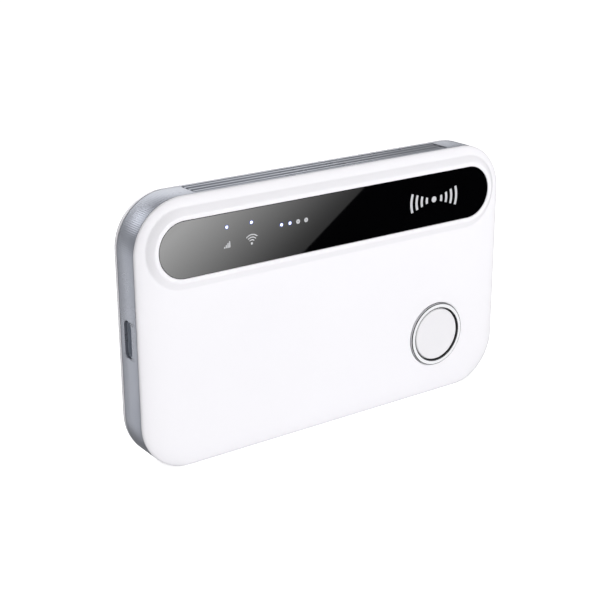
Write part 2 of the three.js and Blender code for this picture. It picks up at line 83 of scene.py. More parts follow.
def moulded(name, base, shade, patchMm, roughness, grainMm, grainDepth, **shaderInputs):
    # base and shade are mixed in soft patches; roughness is (low, high); grain is a fine bump
    material = bpy.data.materials.new(name)
    material.use_nodes = True
    tree = material.node_tree
    shader = tree.nodes["Principled BSDF"]
    place = addNode(tree, "ShaderNodeTexCoord")
    patches = addNode(tree, "ShaderNodeTexNoise",
                      {"Vector": place.outputs["Object"], "Scale": perMetre(patchMm), "Detail": 3.0})
    tint = addNode(tree, "ShaderNodeMix", {0: patches.outputs["Fac"], 6: colour(base), 7: colour(shade)},
                   data_type="RGBA")
    tree.links.new(tint.outputs[2], shader.inputs["Base Color"])
    gloss = addNode(tree, "ShaderNodeMapRange",
                    {"Value": patches.outputs["Fac"], "To Min": roughness[0], "To Max": roughness[1]})
    tree.links.new(gloss.outputs["Result"], shader.inputs["Roughness"])
    grain = addNode(tree, "ShaderNodeTexNoise",
                    {"Vector": place.outputs["Object"], "Scale": perMetre(grainMm), "Detail": 2.0})
    bump = addNode(tree, "ShaderNodeBump",
                   {"Height": grain.outputs["Fac"], "Strength": 1.0, "Distance": grainDepth * mm})
    tree.links.new(bump.outputs["Normal"], shader.inputs["Normal"])
    for socket, value in shaderInputs.items():
        shader.inputs[socket.replace("_", " ")].default_value = value
    return material


# Polished ABS: injection moulded in a mirror-finished tool, so a clear gloss over a very faint
# orange peel.
polishedAbs = moulded("polishedWhiteAbs", "#F8F7FA", "#F5F4F8", 24, (0.13, 0.2), 1.6, 0.0012,
                      IOR=1.53)
# Button cap: the same ABS from a satin tool, a shade greyer.
satinAbs = moulded("satinWhiteAbs", "#EFEEF1", "#ECEBEE", 12, (0.3, 0.38), 0.8, 0.001, IOR=1.53)
# Satin paint on the edge band: a fine metallic grey under a matte clear coat.
satinPaint = moulded("satinGreyPaint", "#A3A6AE", "#989BA5", 9, (0.24, 0.32), 0.18, 0.003,
                     Metallic=0.6)
# PMMA window printed black on its back: mirror smooth, nothing but reflections.
blackPmma = moulded("blackPrintedPmma", "#020203", "#030304", 12, (0.015, 0.03), 6, 0.0002, IOR=1.49)
# Chrome on ABS trim.
chromePlate = moulded("chromePlatedTrim", "#E2E2E4", "#DADBDE", 5, (0.05, 0.09), 1.2, 0.0004, Metallic=1.0)
# Screen ink printed light grey: flat and slightly rough.
printInk = moulded("lightGreyInk", "#D0D1D4", "#C8C9CC", 1.5, (0.4, 0.5), 0.2, 0.001)
# Unlit lamp dot: a milky polycarbonate diffuser.
milkyDot = moulded("unlitLampDiffuser", "#A9AAAD", "#A1A2A6", 0.5, (0.4, 0.5), 0.2, 0.001, IOR=1.58)
# Lit lamp: the same diffuser with a cold white LED behind it, violet where the light thins out.
litDot = moulded("litLampDiffuser", "#E8EEFF", "#DCE6FF", 0.5, (0.3, 0.4), 0.2, 0.001, IOR=1.58,
                 Emission_Color=colour("#E9EEFF"), Emission_Strength=0.9)
litFringe = moulded("litLampFringe", "#3A4382", "#323B78", 0.5, (0.3, 0.4), 0.2, 0.001, IOR=1.58,
                    Emission_Color=colour("#5C6CC4"), Emission_Strength=0.35)
# Tray and plug tongue: glass filled ABS from a spark-eroded tool, so dull with a fine grain.
sparkedAbs = moulded("sparkErodedBlackAbs", "#1A1B1D", "#202124", 7, (0.5, 0.62), 0.35, 0.012, IOR=1.54)
# Plug socket: matt tin over steel, which scatters what light gets in; its tongue is slate liquid
# crystal polymer.
mattTin = moulded("mattTinPlatedSteel", "#BDC4CE", "#B3BAC5", 2, (0.5, 0.6), 0.2, 0.004, Metallic=0.35)
slatePolymer = moulded("slateLiquidCrystalPolymer", "#8C96A4", "#858F9D", 2, (0.4, 0.5), 0.2, 0.003, IOR=1.6)
# Shields, plug shell and card socket: nickel plated sheet steel with faint rolling grain.
nickelSteel = moulded("nickelPlatedSteel", "#B4B7BC", "#A6A9AE", 4, (0.26, 0.4), 0.25, 0.003, Metallic=1.0)
# Contacts: hard gold over nickel.
hardGold = moulded("hardGoldPlating", "#D6B25E", "#C9A24C", 1.5, (0.2, 0.3), 0.2, 0.001, Metallic=1.0)
# Chips: black epoxy moulding compound, matt with pale filler.
chipEpoxy = moulded("chipEpoxy", "#1D1E20", "#27282B", 0.5, (0.5, 0.65), 0.15, 0.004, IOR=1.55)
# Window tape: closed-cell acrylic foam.
acrylicFoam = moulded("acrylicFoamTape", "#26272A", "#1D1E20", 0.8, (0.8, 0.9), 0.3, 0.03, IOR=1.49)
# Antennas: copper plated on the tray, under clear lacquer.
platedCopper = moulded("lacqueredCopper", "#C98A5A", "#B87848", 3, (0.28, 0.4), 0.3, 0.004, Metallic=1.0)
# Battery: a hard pack in dull black polyester wrap, slightly wavy.
cellWrap = moulded("polyesterCellWrap", "#303338", "#393C42", 14, (0.32, 0.48), 2.5, 0.02, IOR=1.57)
# Labels: coated paper with short fibres showing.
coatedPaper = moulded("coatedPaperLabel", "#ECECE8", "#E2E2DD", 1.2, (0.5, 0.65), 0.2, 0.006, IOR=1.5)
darkInk = moulded("darkLabelInk", "#2D2F33", "#35373B", 2, (0.45, 0.55), 0.2, 0.001, IOR=1.5)
# SIM card: laminated PVC, satin.
satinPvc = moulded("laminatedPvc", "#F1F1ED", "#E9E9E4", 5, (0.3, 0.4), 0.3, 0.002, IOR=1.53)
# Screws: black zinc plated steel, worn brighter on the high spots.
blackZinc = moulded("blackZincSteel", "#4A4B4E", "#6A6B6F", 0.6, (0.3, 0.42), 0.15, 0.002, Metallic=1.0)


def solderMask():  # glass epoxy board: green mask, paler where a track runs under it
    material = moulded("greenSolderMask", "#14503A", "#124A36", 6, (0.28, 0.36), 0.3, 0.004, IOR=1.55)
    tree = material.node_tree
    place = tree.nodes["Texture Coordinate"]
    upright = addNode(tree, "ShaderNodeMapping", {"Vector": place.outputs["Object"],
                                                  "Rotation": (math.pi / 2, 0, 0)})
    track = addNode(tree, "ShaderNodeTexBrick",
                    {"Vector": upright.outputs[0], "Scale": perMetre(1), "Mortar Size": 0.09,
                     "Brick Width": 3.4, "Row Height": 0.7, "Mortar Smooth": 0.1})
    tint = addNode(tree, "ShaderNodeMix",
                   {0: track.outputs["Fac"], 6: colour("#14503A"), 7: colour("#2A7353")}, data_type="RGBA")
    tree.links.new(tint.outputs[2], tree.nodes["Principled BSDF"].inputs["Base Color"])
    return material


greenMask = solderMask()
print("materials made")

# ---- meshes


def meshObject(name, verts, faces, material, body, slot, replaced, smoothAngle=32):
    mesh = bpy.data.meshes.new(name)
    mesh.from_pydata([tuple(np.array(v) * mm) for v in verts], [], [tuple(f) for f in faces])
    piece = bpy.data.objects.new(name, mesh)
    bpy.context.scene.collection.objects.link(piece)
    tidyMesh(mesh)
    if smoothAngle is not None:
        mesh.shade_smooth()
        mesh.set_sharp_from_angle(angle=math.radians(smoothAngle))
        flattenEnds(mesh)
    mesh.materials.append(material)
    if body is not None:
        fitPiece(piece, body, replaced)
    return piece


def tidyMesh(mesh):  # doubles merged, faces turned outward
    work = bmesh.new()
    work.from_mesh(mesh)
    bmesh.ops.remove_doubles(work, verts=work.verts, dist=0.0005 * mm)
    bmesh.ops.recalc_face_normals(work, faces=work.faces)
    work.to_mesh(mesh)
    work.free()


def flattenEnds(mesh):  # many-sided end faces stay truly flat
    edges = {edge.key: edge for edge in mesh.edges}
    for polygon in mesh.polygons:
        if len(polygon.vertices) > 6:
            polygon.use_smooth = False
            for key in polygon.edge_keys:
                edges[key].use_edge_sharp = True


def fitPiece(piece, body, replaced):
    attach(piece, body)
    if replaced:
        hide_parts(*replaced)


def gridFaces(rows, columns, closeRows=False):  # quads between closed loops of points
    faces = []
    for r in range(rows if closeRows else rows - 1):
        s = (r + 1) % rows
        for c in range(columns):
            d = (c + 1) % columns
            faces.append((r * columns + c, r * columns + d, s * columns + d, s * columns + c))
    return faces


def loft(loops, capped=True):  # equal closed loops joined in turn, with flat ends or joined round
    columns = len(loops[0])
    verts = [p for loop in loops for p in loop]
    faces = gridFaces(len(loops), columns, closeRows=not capped)
    if capped:
        faces.append(tuple(range(columns)))
        faces.append(tuple(range(len(verts) - columns, len(verts))))
    return verts, faces


def turnedMesh(profile, x, z, segments=128):  # (radius, y) points about a depth axis
    onAxis = profile[0][0] == 0
    closed = profile[0] == profile[-1]
    rings = [p for p in (profile[:-1] if closed else profile) if p[0] > 0]
    angles = np.linspace(0, 2 * math.pi, segments, endpoint=False)
    verts = [(x + r * math.cos(a), y, z + r * math.sin(a)) for r, y in rings for a in angles]
    faces = gridFaces(len(rings), segments, closeRows=closed)
    if onAxis:
        for (_, y), first in ((profile[0], 0), (profile[-1], (len(rings) - 1) * segments)):
            verts.append((x, y, z))
            faces += [(first + c, first + (c + 1) % segments, len(verts) - 1) for c in range(segments)]
    return verts, faces


# ---- outlines of the casing and the window

low, high = boxOf("mid_frame")
casing = {"halfWidth": high[0], "middle": (low[2] + high[2]) / 2, "corner": 12.2}
bandFront, bandBack = low[1], high[1]

low, high = boxOf("display_window")
window = {"gap": 0.07, "middle": (low[2] + high[2]) / 2}
window["halfHeight"] = (high[2] - low[2]) / 2 + window["gap"]
window["halfLength"] = high[0] + window["gap"]

low, high = boxOf("button_ring")
ringPlace = {"x": (low[0] + high[0]) / 2, "z": (low[2] + high[2]) / 2, "radius": (high[0] - low[0]) / 2}
ringPlace["front"], ringPlace["back"] = low[1], high[1]
ringPlace["radius"] -= 0.13
ringPlace["holeGap"] = 0.09  # round the ring, to the edge of its hole in the cover


def edgeDistance(x, z):  # how far inside the casing's outline
    acrossOver = np.abs(x) - (casing["halfWidth"] - casing["corner"])
    upOver = np.abs(z - casing["middle"]) - (casing["middle"] - casing["corner"])
    outside = np.hypot(np.maximum(acrossOver, 0), np.maximum(upOver, 0))
    return casing["corner"] - outside - np.minimum(np.maximum(acrossOver, upOver), 0)


def windowDistance(x, z):  # how far outside the window's outline
    along = np.maximum(np.abs(x) - (window["halfLength"] - window["halfHeight"]), 0)
    return np.hypot(along, z - window["middle"]) - window["halfHeight"]


def buttonDistance(x, z):
    return np.hypot(x - ringPlace["x"], z - ringPlace["z"]) - ringPlace["radius"] - 0.09


def roundedLoop(size, inset, counts, centre=(0, 0)):
    # (x, z, outward angle) round a rounded box; counts are for the long side, short side and corner
    halfWidth, halfHeight, corner = (length - inset for length in size)
    points = []
    for turn in range(4):
        start = (turn - 1) * math.pi / 2
        side = (halfWidth, halfHeight)[turn % 2] - corner
        cornerX = (halfWidth - corner) * (1, 1, -1, -1)[turn]
        cornerZ = (halfHeight - corner) * (-1, 1, 1, -1)[turn]
        if counts[turn % 2]:
            for share in np.arange(counts[turn % 2]) / counts[turn % 2]:
                back = 2 * side * (1 - share)
                points.append((cornerX + corner * math.cos(start) + back * math.sin(start),
                               cornerZ + corner * math.sin(start) - back * math.cos(start), start))
        for angle in start + np.arange(counts[2]) / counts[2] * math.pi / 2:
            points.append((cornerX + corner * math.cos(angle), cornerZ + corner * math.sin(angle), angle))
    return np.array([(centre[0] + x, centre[1] + z, angle) for x, z, angle in points])


def stepCounts(size, step):
    halfWidth, halfHeight, corner = size
    lengths = (2 * (halfWidth - corner), 2 * (halfHeight - corner), math.pi * corner / 2)
    return [max(1, round(length / step)) if length > 1e-6 else 0 for length in lengths]


def casingLoop(inset, step):
    size = (casing["halfWidth"], casing["middle"], casing["corner"])
    return roundedLoop(size, inset, stepCounts(size, step), (0, casing["middle"]))


def windowLoop(offset, step):
    size = (window["halfLength"], window["halfHeight"], window["halfHeight"])
    return roundedLoop(size, -offset, stepCounts(size, step), (0, window["middle"]))


def circleLoop(x, z, radius, count):
    angles = np.linspace(0, 2 * math.pi, count, endpoint=False)
    return np.column_stack((x + radius * np.cos(angles), z + radius * np.sin(angles), angles))


# ---- smooth shells: one flat triangulation lifted to an outer and an inner surface


def triangulate(loops, loose, keep):  # loops are kept as edges; keep(x, z) says where material is
    points, edges = [], []
    for loop in loops:
        first = len(points)
        points += [(p[0], p[1]) for p in loop]
        edges += [(first + i, first + (i + 1) % len(loop)) for i in range(len(loop))]
    points += [(p[0], p[1]) for p in loose]
    flat, _, triangles, _, _, _ = delaunay_2d_cdt([Vector(p) for p in points], edges, [], 0, 1e-5)
    flat = np.array([tuple(p) for p in flat])
    triangles = np.array([tuple(t) for t in triangles])
    centres = flat[triangles].mean(axis=1)
    return flat, triangles[keep(centres[:, 0], centres[:, 1])]


def slopeNormals(depth, flat, side):  # side is -1 for a surface that faces forward
    h = 0.004
    x, z = flat[:, 0], flat[:, 1]
    alongX = (depth(x + h, z) - depth(x - h, z)) / (2 * h)
    alongZ = (depth(x, z + h) - depth(x, z - h)) / (2 * h)
    normals = np.column_stack((-side * alongX, np.full(len(x), side), -side * alongZ))
    return normals / np.linalg.norm(normals, axis=1)[:, None]


def shellObject(name, flat, triangles, outer, inner, side, material, extra=()):
    count = len(flat)
    heights = [f(flat[:, 0], flat[:, 1]) for f in (outer, inner)]
    verts = np.vstack([np.column_stack((flat[:, 0], h, flat[:, 1])) for h in heights])
    used = {}
    for a, b, c in triangles:
        for edge in ((a, b), (b, c), (c, a)):
            used[edge] = used.get(edge, 0) + 1
    rims = [(a, b) for a, b in used if (b, a) not in used]
    wind = triangles if side < 0 else triangles[:, ::-1]
    outerFaces = [tuple(t) for t in wind]
    innerFaces = [tuple(count + i for i in t[::-1]) for t in wind]
    wallFaces = []
    for a, b in rims:
        wall = (b, a, count + a, count + b)
        wallFaces.append(wall if side < 0 else wall[::-1])
    mesh = bpy.data.meshes.new(name)
    mesh.from_pydata([tuple(v) for v in verts * mm], [], outerFaces + innerFaces + wallFaces)
    mesh.shade_smooth()
    normals = np.vstack((slopeNormals(outer, flat, side), slopeNormals(inner, flat, -side)))
    split = []
    for polygon in mesh.polygons:
        isWall = len(polygon.vertices) == 4
        split += [tuple(polygon.normal) if isWall else tuple(normals[v]) for v in polygon.vertices]
    mesh.normals_split_custom_set(split)
    mesh.materials.append(material)
    piece = bpy.data.objects.new(name, mesh)
    bpy.context.scene.collection.objects.link(piece)
    return piece


def easedRamp(t, ease):  # 0 to 1 in a straight slope whose two ends are rounded
    start = np.clip(t + ease, 0, 2 * ease) ** 2 / (4 * ease) + np.maximum(t - ease, 0)
    end = np.clip(t - 1 + ease, 0, 2 * ease) ** 2 / (4 * ease) + np.maximum(t - 1 - ease, 0)
    return start - end


def roundOver(distance, radius):  # how far a rounded lip falls away near its edge
    near = np.clip(radius - distance, 0, radius)
    return radius - np.sqrt(radius ** 2 - near ** 2)


frontCover = {
    "crest": boxOf("front_cover")[0][1],  # rim round the window
    "faceDrop": 0.75, "edgeDrop": 2.3,  # face and edge, behind the crest
    "crown": 8.0, "rimFlat": 0.98, "rimSlope": 1.65, "rimEase": 0.13, "lipRound": 0.22,
    "skirt": 0.06, "wallInset": 1.7, "insideDrop": 2.05, "insideRamp": 1.4,
}


def frontOuter(x, z):
    c = frontCover
    edge, rise = c["crest"] + c["edgeDrop"], c["edgeDrop"] - c["faceDrop"]
    reach = np.clip(edgeDistance(x, z) / c["crown"], 0, 1)
    crown = edge - rise * np.sqrt(1 - (1 - reach) ** 2)
    away = windowDistance(x, z)
    lift = 1 - easedRamp((away - c["rimFlat"]) / c["rimSlope"], c["rimEase"])
    surface = crown * (1 - lift) + c["crest"] * lift
    return surface + roundOver(away, c["lipRound"]) + roundOver(buttonDistance(x, z), c["lipRound"])


def frontInner(x, z):
    c = frontCover
    skirt = c["crest"] + c["edgeDrop"] + c["skirt"]
    ramp = np.clip((edgeDistance(x, z) - c["wallInset"]) / c["insideRamp"], 0, 1)
    return skirt + (c["crest"] + c["insideDrop"] - skirt) * ramp


def frontSheet():
    c = frontCover
    ringHole = circleLoop(ringPlace["x"], ringPlace["z"], ringPlace["radius"] + ringPlace["holeGap"], 120)
    loops = [casingLoop(0, 0.7), windowLoop(0, 0.5), ringHole]
    loose = []
    rimEnd = c["rimFlat"] + c["rimSlope"] * (1 + c["rimEase"])
    for tilt in (3, 6, 10, 14, 19, 24, 30, 36, 42, 48, 54, 60, 67, 74):
        inset = c["crown"] * (1 - math.cos(math.radians(tilt)))
        ring = casingLoop(inset, 0.7)
        loose.append(ring[windowDistance(ring[:, 0], ring[:, 1]) > rimEnd + 0.15])
    for offset in (0.03, 0.08, 0.15, c["lipRound"], 0.6):
        loose.append(windowLoop(offset, 0.5))
    for part in (-0.13, -0.07, 0, 0.07, 0.13, 0.3, 0.5, 0.7, 0.87, 0.93, 1, 1.07, 1.13):
        loose.append(windowLoop(c["rimFlat"] + part * c["rimSlope"], 0.6))
    for offset in (0.12, 0.17, 0.24, 0.31, 0.7, 1.2):
        loose.append(circleLoop(ringPlace["x"], ringPlace["z"], ringPlace["radius"] + offset, 120))
    gridX, gridZ = np.meshgrid(np.arange(-50, 50.1, 1.1), np.arange(1, 62, 1.1))
    gridX, gridZ = gridX.ravel(), gridZ.ravel()
    free = (edgeDistance(gridX, gridZ) > 6.2) & (windowDistance(gridX, gridZ) > rimEnd + 0.4)
    free &= buttonDistance(gridX, gridZ) > 1.6
    loose.append(np.column_stack((gridX[free], gridZ[free])))
    loose = [tuple(p[:2]) for ring in loose for p in ring]
    return triangulate(loops, loose, lambda x, z: (edgeDistance(x, z) > 0) & (windowDistance(x, z) > 0)
                       & (buttonDistance(x, z) > 0))


flat, triangles = frontSheet()
frontShell = shellObject("frontShell", flat, triangles, frontOuter, frontInner, -1, polishedAbs)
fitPiece(frontShell, "hotspot_body", ["front_cover"])
print("front cover made:", len(triangles) * 2, "triangles")

rearCover = {
    "back": boxOf("rear_cover")[1][1], "edge": 2.6, "crown": 7.5, "skirt": 0.1,
    "wall": 1.3, "inside": 6.05, "innerCrown": 6.4,
}


def rearOuter(x, z):
    c = rearCover
    reach = np.clip(edgeDistance(x, z) / c["crown"], 0, 1)
    return c["edge"] + (c["back"] - c["edge"]) * np.sqrt(1 - (1 - reach) ** 2)


def rearInner(x, z):
    c = rearCover
    reach = np.clip((edgeDistance(x, z) - c["wall"]) / c["innerCrown"], 0, 1)
    return c["edge"] - c["skirt"] + (c["inside"] - c["edge"] + c["skirt"]) * np.sqrt(1 - (1 - reach) ** 2)


def rearSheet():
    c = rearCover
    loose = []
    tilts = (3, 6, 10, 14, 19, 24, 30, 36, 42, 48, 54, 60, 66, 72, 78, 84, 90)
    for start, crown in ((0, c["crown"]), (c["wall"], c["innerCrown"])):
        for tilt in (0,) * (start > 0) + tilts:
            loose.append(casingLoop(start + crown * (1 - math.cos(math.radians(tilt))), 0.9))
    gridX, gridZ = np.meshgrid(np.arange(-44, 44.1, 2), np.arange(8, 56, 2))
    free = edgeDistance(gridX, gridZ).ravel() > 8.2
    loose.append(np.column_stack((gridX.ravel()[free], gridZ.ravel()[free])))
    loose = [tuple(p[:2]) for ring in loose for p in ring]
    return triangulate([casingLoop(0, 0.7)], loose, lambda x, z: edgeDistance(x, z) > 0)


flat, triangles = rearSheet()
rearShell = shellObject("rearShell", flat, triangles, rearOuter, rearInner, 1, polishedAbs)
fitPiece(rearShell, "rear_cover", ["rear_cover"])
print("rear cover made:", len(triangles) * 2, "triangles")

# ---- geometry nodes


def newTree(name, sizes):  # a tree with a geometry input and one named number for each size
    tree = bpy.data.node_groups.new(name, "GeometryNodeTree")
    tree.interface.new_socket("Geometry", in_out="INPUT", socket_type="NodeSocketGeometry")
    keys = {}
    for size in sizes:
        keys[size] = tree.interface.new_socket(size, in_out="INPUT", socket_type="NodeSocketFloat").identifier
    tree.interface.new_socket("Geometry", in_out="OUTPUT", socket_type="NodeSocketGeometry")
    return tree, keys, tree.nodes.new("NodeGroupInput"), tree.nodes.new("NodeGroupOutput")


def endTree(tree, ending, geometry, material):
    whole = addNode(tree, "GeometryNodeRealizeInstances", {"Geometry": geometry})
    coated = addNode(tree, "GeometryNodeSetMaterial", {"Geometry": whole.outputs[0], "Material": material})
    tree.links.new(coated.outputs[0], ending.inputs["Geometry"])


def runTree(piece, tree, keys, sizes):  # the modifier's result becomes the piece's plain mesh
    modifier = piece.modifiers.new(tree.name, "NODES")
    modifier.node_group = tree
    for size, value in sizes.items():
        modifier[keys[size]] = value
    bakeModifiers(piece)


def bakeModifiers(piece):
    evaluated = piece.evaluated_get(bpy.context.evaluated_depsgraph_get())
    mesh = bpy.data.meshes.new_from_object(evaluated)
    piece.modifiers.clear()
    old = piece.data
    piece.data = mesh
    bpy.data.meshes.remove(old)
    mesh.name = piece.name


# ---- edge band with its flutes

band = {"pitch": 0.46, "depth": 0.045, "stepsPerFlute": 5, "chamfer": 0.16, "wall": 1.7, "reach": 0.04}


def fluteTree(material):
    # pushes the skin in along its normal by a cosine of the distance round the band
    tree, keys, given, ending = newTree("bandFlutes", ("Flute pitch", "Flute depth"))
    around = addNode(tree, "GeometryNodeInputNamedAttribute", {"Name": "around"}, data_type="FLOAT")
    fluted = addNode(tree, "GeometryNodeInputNamedAttribute", {"Name": "fluted"}, data_type="FLOAT")
    turns = addNode(tree, "ShaderNodeMath", {0: around.outputs[0], 1: given.outputs["Flute pitch"]},
                    operation="DIVIDE")
    angle = addNode(tree, "ShaderNodeMath", {0: turns.outputs[0], 1: 2 * math.pi}, operation="MULTIPLY")
    wave = addNode(tree, "ShaderNodeMath", {0: angle.outputs[0]}, operation="COSINE")
    valley = addNode(tree, "ShaderNodeMath", {0: wave.outputs[0], 1: -0.5, 2: -0.5},
                     operation="MULTIPLY_ADD")
    amount = addNode(tree, "ShaderNodeMath", {0: valley.outputs[0], 1: fluted.outputs[0]},
                     operation="MULTIPLY")
    inward = addNode(tree, "ShaderNodeMath", {0: amount.outputs[0], 1: given.outputs["Flute depth"]},
                     operation="MULTIPLY")
    outward = addNode(tree, "GeometryNodeInputNamedAttribute", {"Name": "outward"},
                      data_type="FLOAT_VECTOR")
    move = addNode(tree, "ShaderNodeVectorMath",
                   {0: outward.outputs[0], "Scale": inward.outputs[0]}, operation="SCALE")
    pushed = addNode(tree, "GeometryNodeSetPosition",
                     {"Geometry": given.outputs["Geometry"], "Offset": move.outputs[0]})
    endTree(tree, ending, pushed.outputs[0], material)
    return tree, keys


def bandMesh():
    path = casingLoop(0, band["pitch"] / band["stepsPerFlute"])
    steps = np.hypot(*(np.roll(path[:, :2], -1, axis=0) - path[:, :2]).T)
    around = np.concatenate(([0], np.cumsum(steps)[:-1]))
    length = steps.sum()
    pitch = length / round(length / band["pitch"])  # a whole number of flutes closes the ring
    front, back, chamfer = bandFront - band["reach"], bandBack + band["reach"], band["chamfer"]
    rows = [(band["wall"], front, 0), (chamfer, front, 0), (chamfer * 0.3, front + chamfer * 0.3, 0.2),
            (0, front + chamfer, 1)]
    rows += [(0, back - chamfer, 1), (chamfer * 0.3, back - chamfer * 0.3, 0.2), (chamfer, back, 0),
             (band["wall"], back, 0)]
    verts, arounds, outwards, fluted = [], [], [], []
    for inset, y, share in rows:
        for (x, z, angle), distance in zip(path, around):
            outward = (math.cos(angle), 0, math.sin(angle))
            verts.append((x - inset * outward[0], y, z - inset * outward[2]))
            arounds.append(distance * mm)
            outwards.append(outward)
            fluted.append(share)
    return verts, gridFaces(len(rows), len(path), closeRows=True), arounds, outwards, fluted, pitch


def makeBand():
    verts, faces, arounds, outwards, fluted, pitch = bandMesh()
    mesh = bpy.data.meshes.new("edgeBand")
    mesh.from_pydata([tuple(np.array(v) * mm) for v in verts], [], faces)
    mesh.materials.append(satinPaint)
    mesh.attributes.new("around", "FLOAT", "POINT").data.foreach_set("value", arounds)
    mesh.attributes.new("fluted", "FLOAT", "POINT").data.foreach_set("value", fluted)
    flatOut = [c for v in outwards for c in v]
    mesh.attributes.new("outward", "FLOAT_VECTOR", "POINT").data.foreach_set("vector", flatOut)
    piece = bpy.data.objects.new("edgeBand", mesh)
    bpy.context.scene.collection.objects.link(piece)
    tree, keys = fluteTree(satinPaint)
    runTree(piece, tree, keys, {"Flute pitch": pitch * mm, "Flute depth": band["depth"] * mm})
    return piece


def uprightStadium(x, grow, step=0.2):  # the plug's outline seen from the side, long way up
    size = (usb["halfHeight"], usb["halfDepth"], usb["halfDepth"])
    return [(x, usb["y"] + v, usb["z"] + u) for u, v, _ in roundedLoop(size, -grow, stepCounts(size, step))]


usbLow, usbHigh = boxOf("usb_shell")
usb = {"y": (usbLow[1] + usbHigh[1]) / 2, "z": (usbLow[2] + usbHigh[2]) / 2, "mouthX": usbLow[0],
       "endX": usbHigh[0], "halfHeight": (usbHigh[2] - usbLow[2]) / 2 - 0.12,
       "halfDepth": (usbHigh[1] - usbLow[1]) / 2 - 0.2,
       "gap": 0.06, "flare": 0.16, "wall": 0.28}
stripLow, stripHigh = boxOf("top_strip")
strip = {"endGap": 0.3, "shorter": 0.15, "sideGap": 0.12, "recess": 1.2, "ridges": 3,
         "ridgeHeight": 0.4, "ridgeShare": 0.88}


def cutBand(piece):
    leftWall = -casing["halfWidth"]
    flare = usb["flare"]
    mouth = [(leftWall - 0.5, flare), (leftWall, flare), (leftWall + flare, 0), (leftWall + 2.5, 0)]
    verts, faces = loft([uprightStadium(x, usb["gap"] + grow) for x, grow in mouth])
    mouthCutter = meshObject("mouthCutter", verts, faces, satinPaint, None, None, None)
    top = 2 * casing["middle"]
    halfX = stripHigh[0] + strip["endGap"]
    halfY = (stripHigh[1] - stripLow[1]) / 2 + strip["sideGap"]
    midY = (stripHigh[1] + stripLow[1]) / 2
    loops = [[(x, midY + y, z) for x, y, _ in roundedLoop((halfX, halfY, 0.3), 0, (60, 4, 4))]
             for z in (top - strip["recess"], top + 0.5)]
    recessCutter = meshObject("recessCutter", *loft(loops), satinPaint, None, None, None)
    for cutter in (mouthCutter, recessCutter):
        tool = piece.modifiers.new(cutter.name, "BOOLEAN")
        tool.operation = "DIFFERENCE"
        tool.solver = "EXACT"
        tool.object = cutter
    bakeModifiers(piece)
    for cutter in (mouthCutter, recessCutter):
        bpy.data.objects.remove(cutter)


edgeBand = makeBand()
cutBand(edgeBand)
edgeBand.data.shade_smooth()
edgeBand.data.set_sharp_from_angle(angle=math.radians(40))
fitPiece(edgeBand, "hotspot_body", ["mid_frame"])
print("edge band made:", len(edgeBand.data.polygons), "faces")


def ridgeTree(material):
    # copies one ridge side by side across the strip and adds the bed they stand on
    sizes = ("Ridge pitch", "Ridge count", "Bed length", "Bed width", "Bed height")
    tree, keys, given, ending = newTree("stripRidges", sizes)
    step = addNode(tree, "ShaderNodeCombineXYZ", {"Y": given.outputs["Ridge pitch"]})
    line = addNode(tree, "GeometryNodeMeshLine",
                   {"Count": given.outputs["Ridge count"], "Offset": step.outputs[0]})
    copies = addNode(tree, "GeometryNodeInstanceOnPoints",
                     {"Points": line.outputs[0], "Instance": given.outputs["Geometry"]})
    size = addNode(tree, "ShaderNodeCombineXYZ",
                   {"X": given.outputs["Bed length"], "Y": given.outputs["Bed width"],
                    "Z": given.outputs["Bed height"]})
    bed = addNode(tree, "GeometryNodeMeshCube", {"Size": size.outputs[0]})
    both = addNode(tree, "GeometryNodeJoinGeometry")
    tree.links.new(copies.outputs[0], both.inputs[0])
    tree.links.new(bed.outputs[0], both.inputs[0])
    endTree(tree, ending, both.outputs[0], material)
    return tree, keys


def makeStrip():
    # made about its own middle, then moved to its recess
    halfLength = stripHigh[0] - strip["shorter"]
    width = stripHigh[1] - stripLow[1]
    pitch = width / strip["ridges"]
    halfWidth = pitch * strip["ridgeShare"] / 2
    stations = [(-halfLength, 0.6), (-halfLength + 0.08, 0.85), (-halfLength + 0.2, 1), (halfLength - 0.2, 1),
                (halfLength - 0.08, 0.85), (halfLength, 0.6)]
    arch = np.linspace(0, math.pi, 15)
    loops = []
    for x, share in stations:
        crown = [(x, halfWidth * math.cos(a), strip["ridgeHeight"] * share * math.sin(a)) for a in arch]
        loops.append(crown + [(x, -halfWidth, -0.2), (x, halfWidth, -0.2)])
    piece = meshObject("topStrip", *loft(loops), satinPaint, None, None, None)
    tree, keys = ridgeTree(satinPaint)
    bedHeight = strip["recess"] - strip["ridgeHeight"] - 0.2
    runTree(piece, tree, keys, {
        "Ridge pitch": pitch * mm, "Ridge count": strip["ridges"], "Bed length": 2 * halfLength * mm,
        "Bed width": width * mm, "Bed height": bedHeight * mm})
    return piece, pitch, bedHeight


def placeStrip(piece, pitch, bedHeight):
    # the bed was made about zero and the first ridge at zero, so each moves to its own place
    midY = (stripLow[1] + stripHigh[1]) / 2
    bedTop = stripHigh[2] - strip["ridgeHeight"]
    halfLength = (stripHigh[0] - strip["shorter"]) * mm
    for vertex in piece.data.vertices:
        atHeight = abs(abs(vertex.co.z) - bedHeight * mm / 2) < 1e-7
        isBed = atHeight and abs(abs(vertex.co.x) - halfLength) < 1e-7
        if isBed:
            vertex.co += Vector((0, midY, bedTop - bedHeight / 2)) * mm
        else:
            vertex.co += Vector((0, midY - pitch, bedTop)) * mm


topStrip, ridgePitch, bedHeight = makeStrip()
placeStrip(topStrip, ridgePitch, bedHeight)
topStrip.data.shade_smooth()
topStrip.data.set_sharp_from_angle(angle=math.radians(40))
fitPiece(topStrip, "hotspot_body", ["top_strip"])
print("top strip made")

# ---- window pane and its printed marks

pane = {"front": boxOf("display_window")[0][1], "back": boxOf("display_window")[1][1], "edgeRound": 0.06}


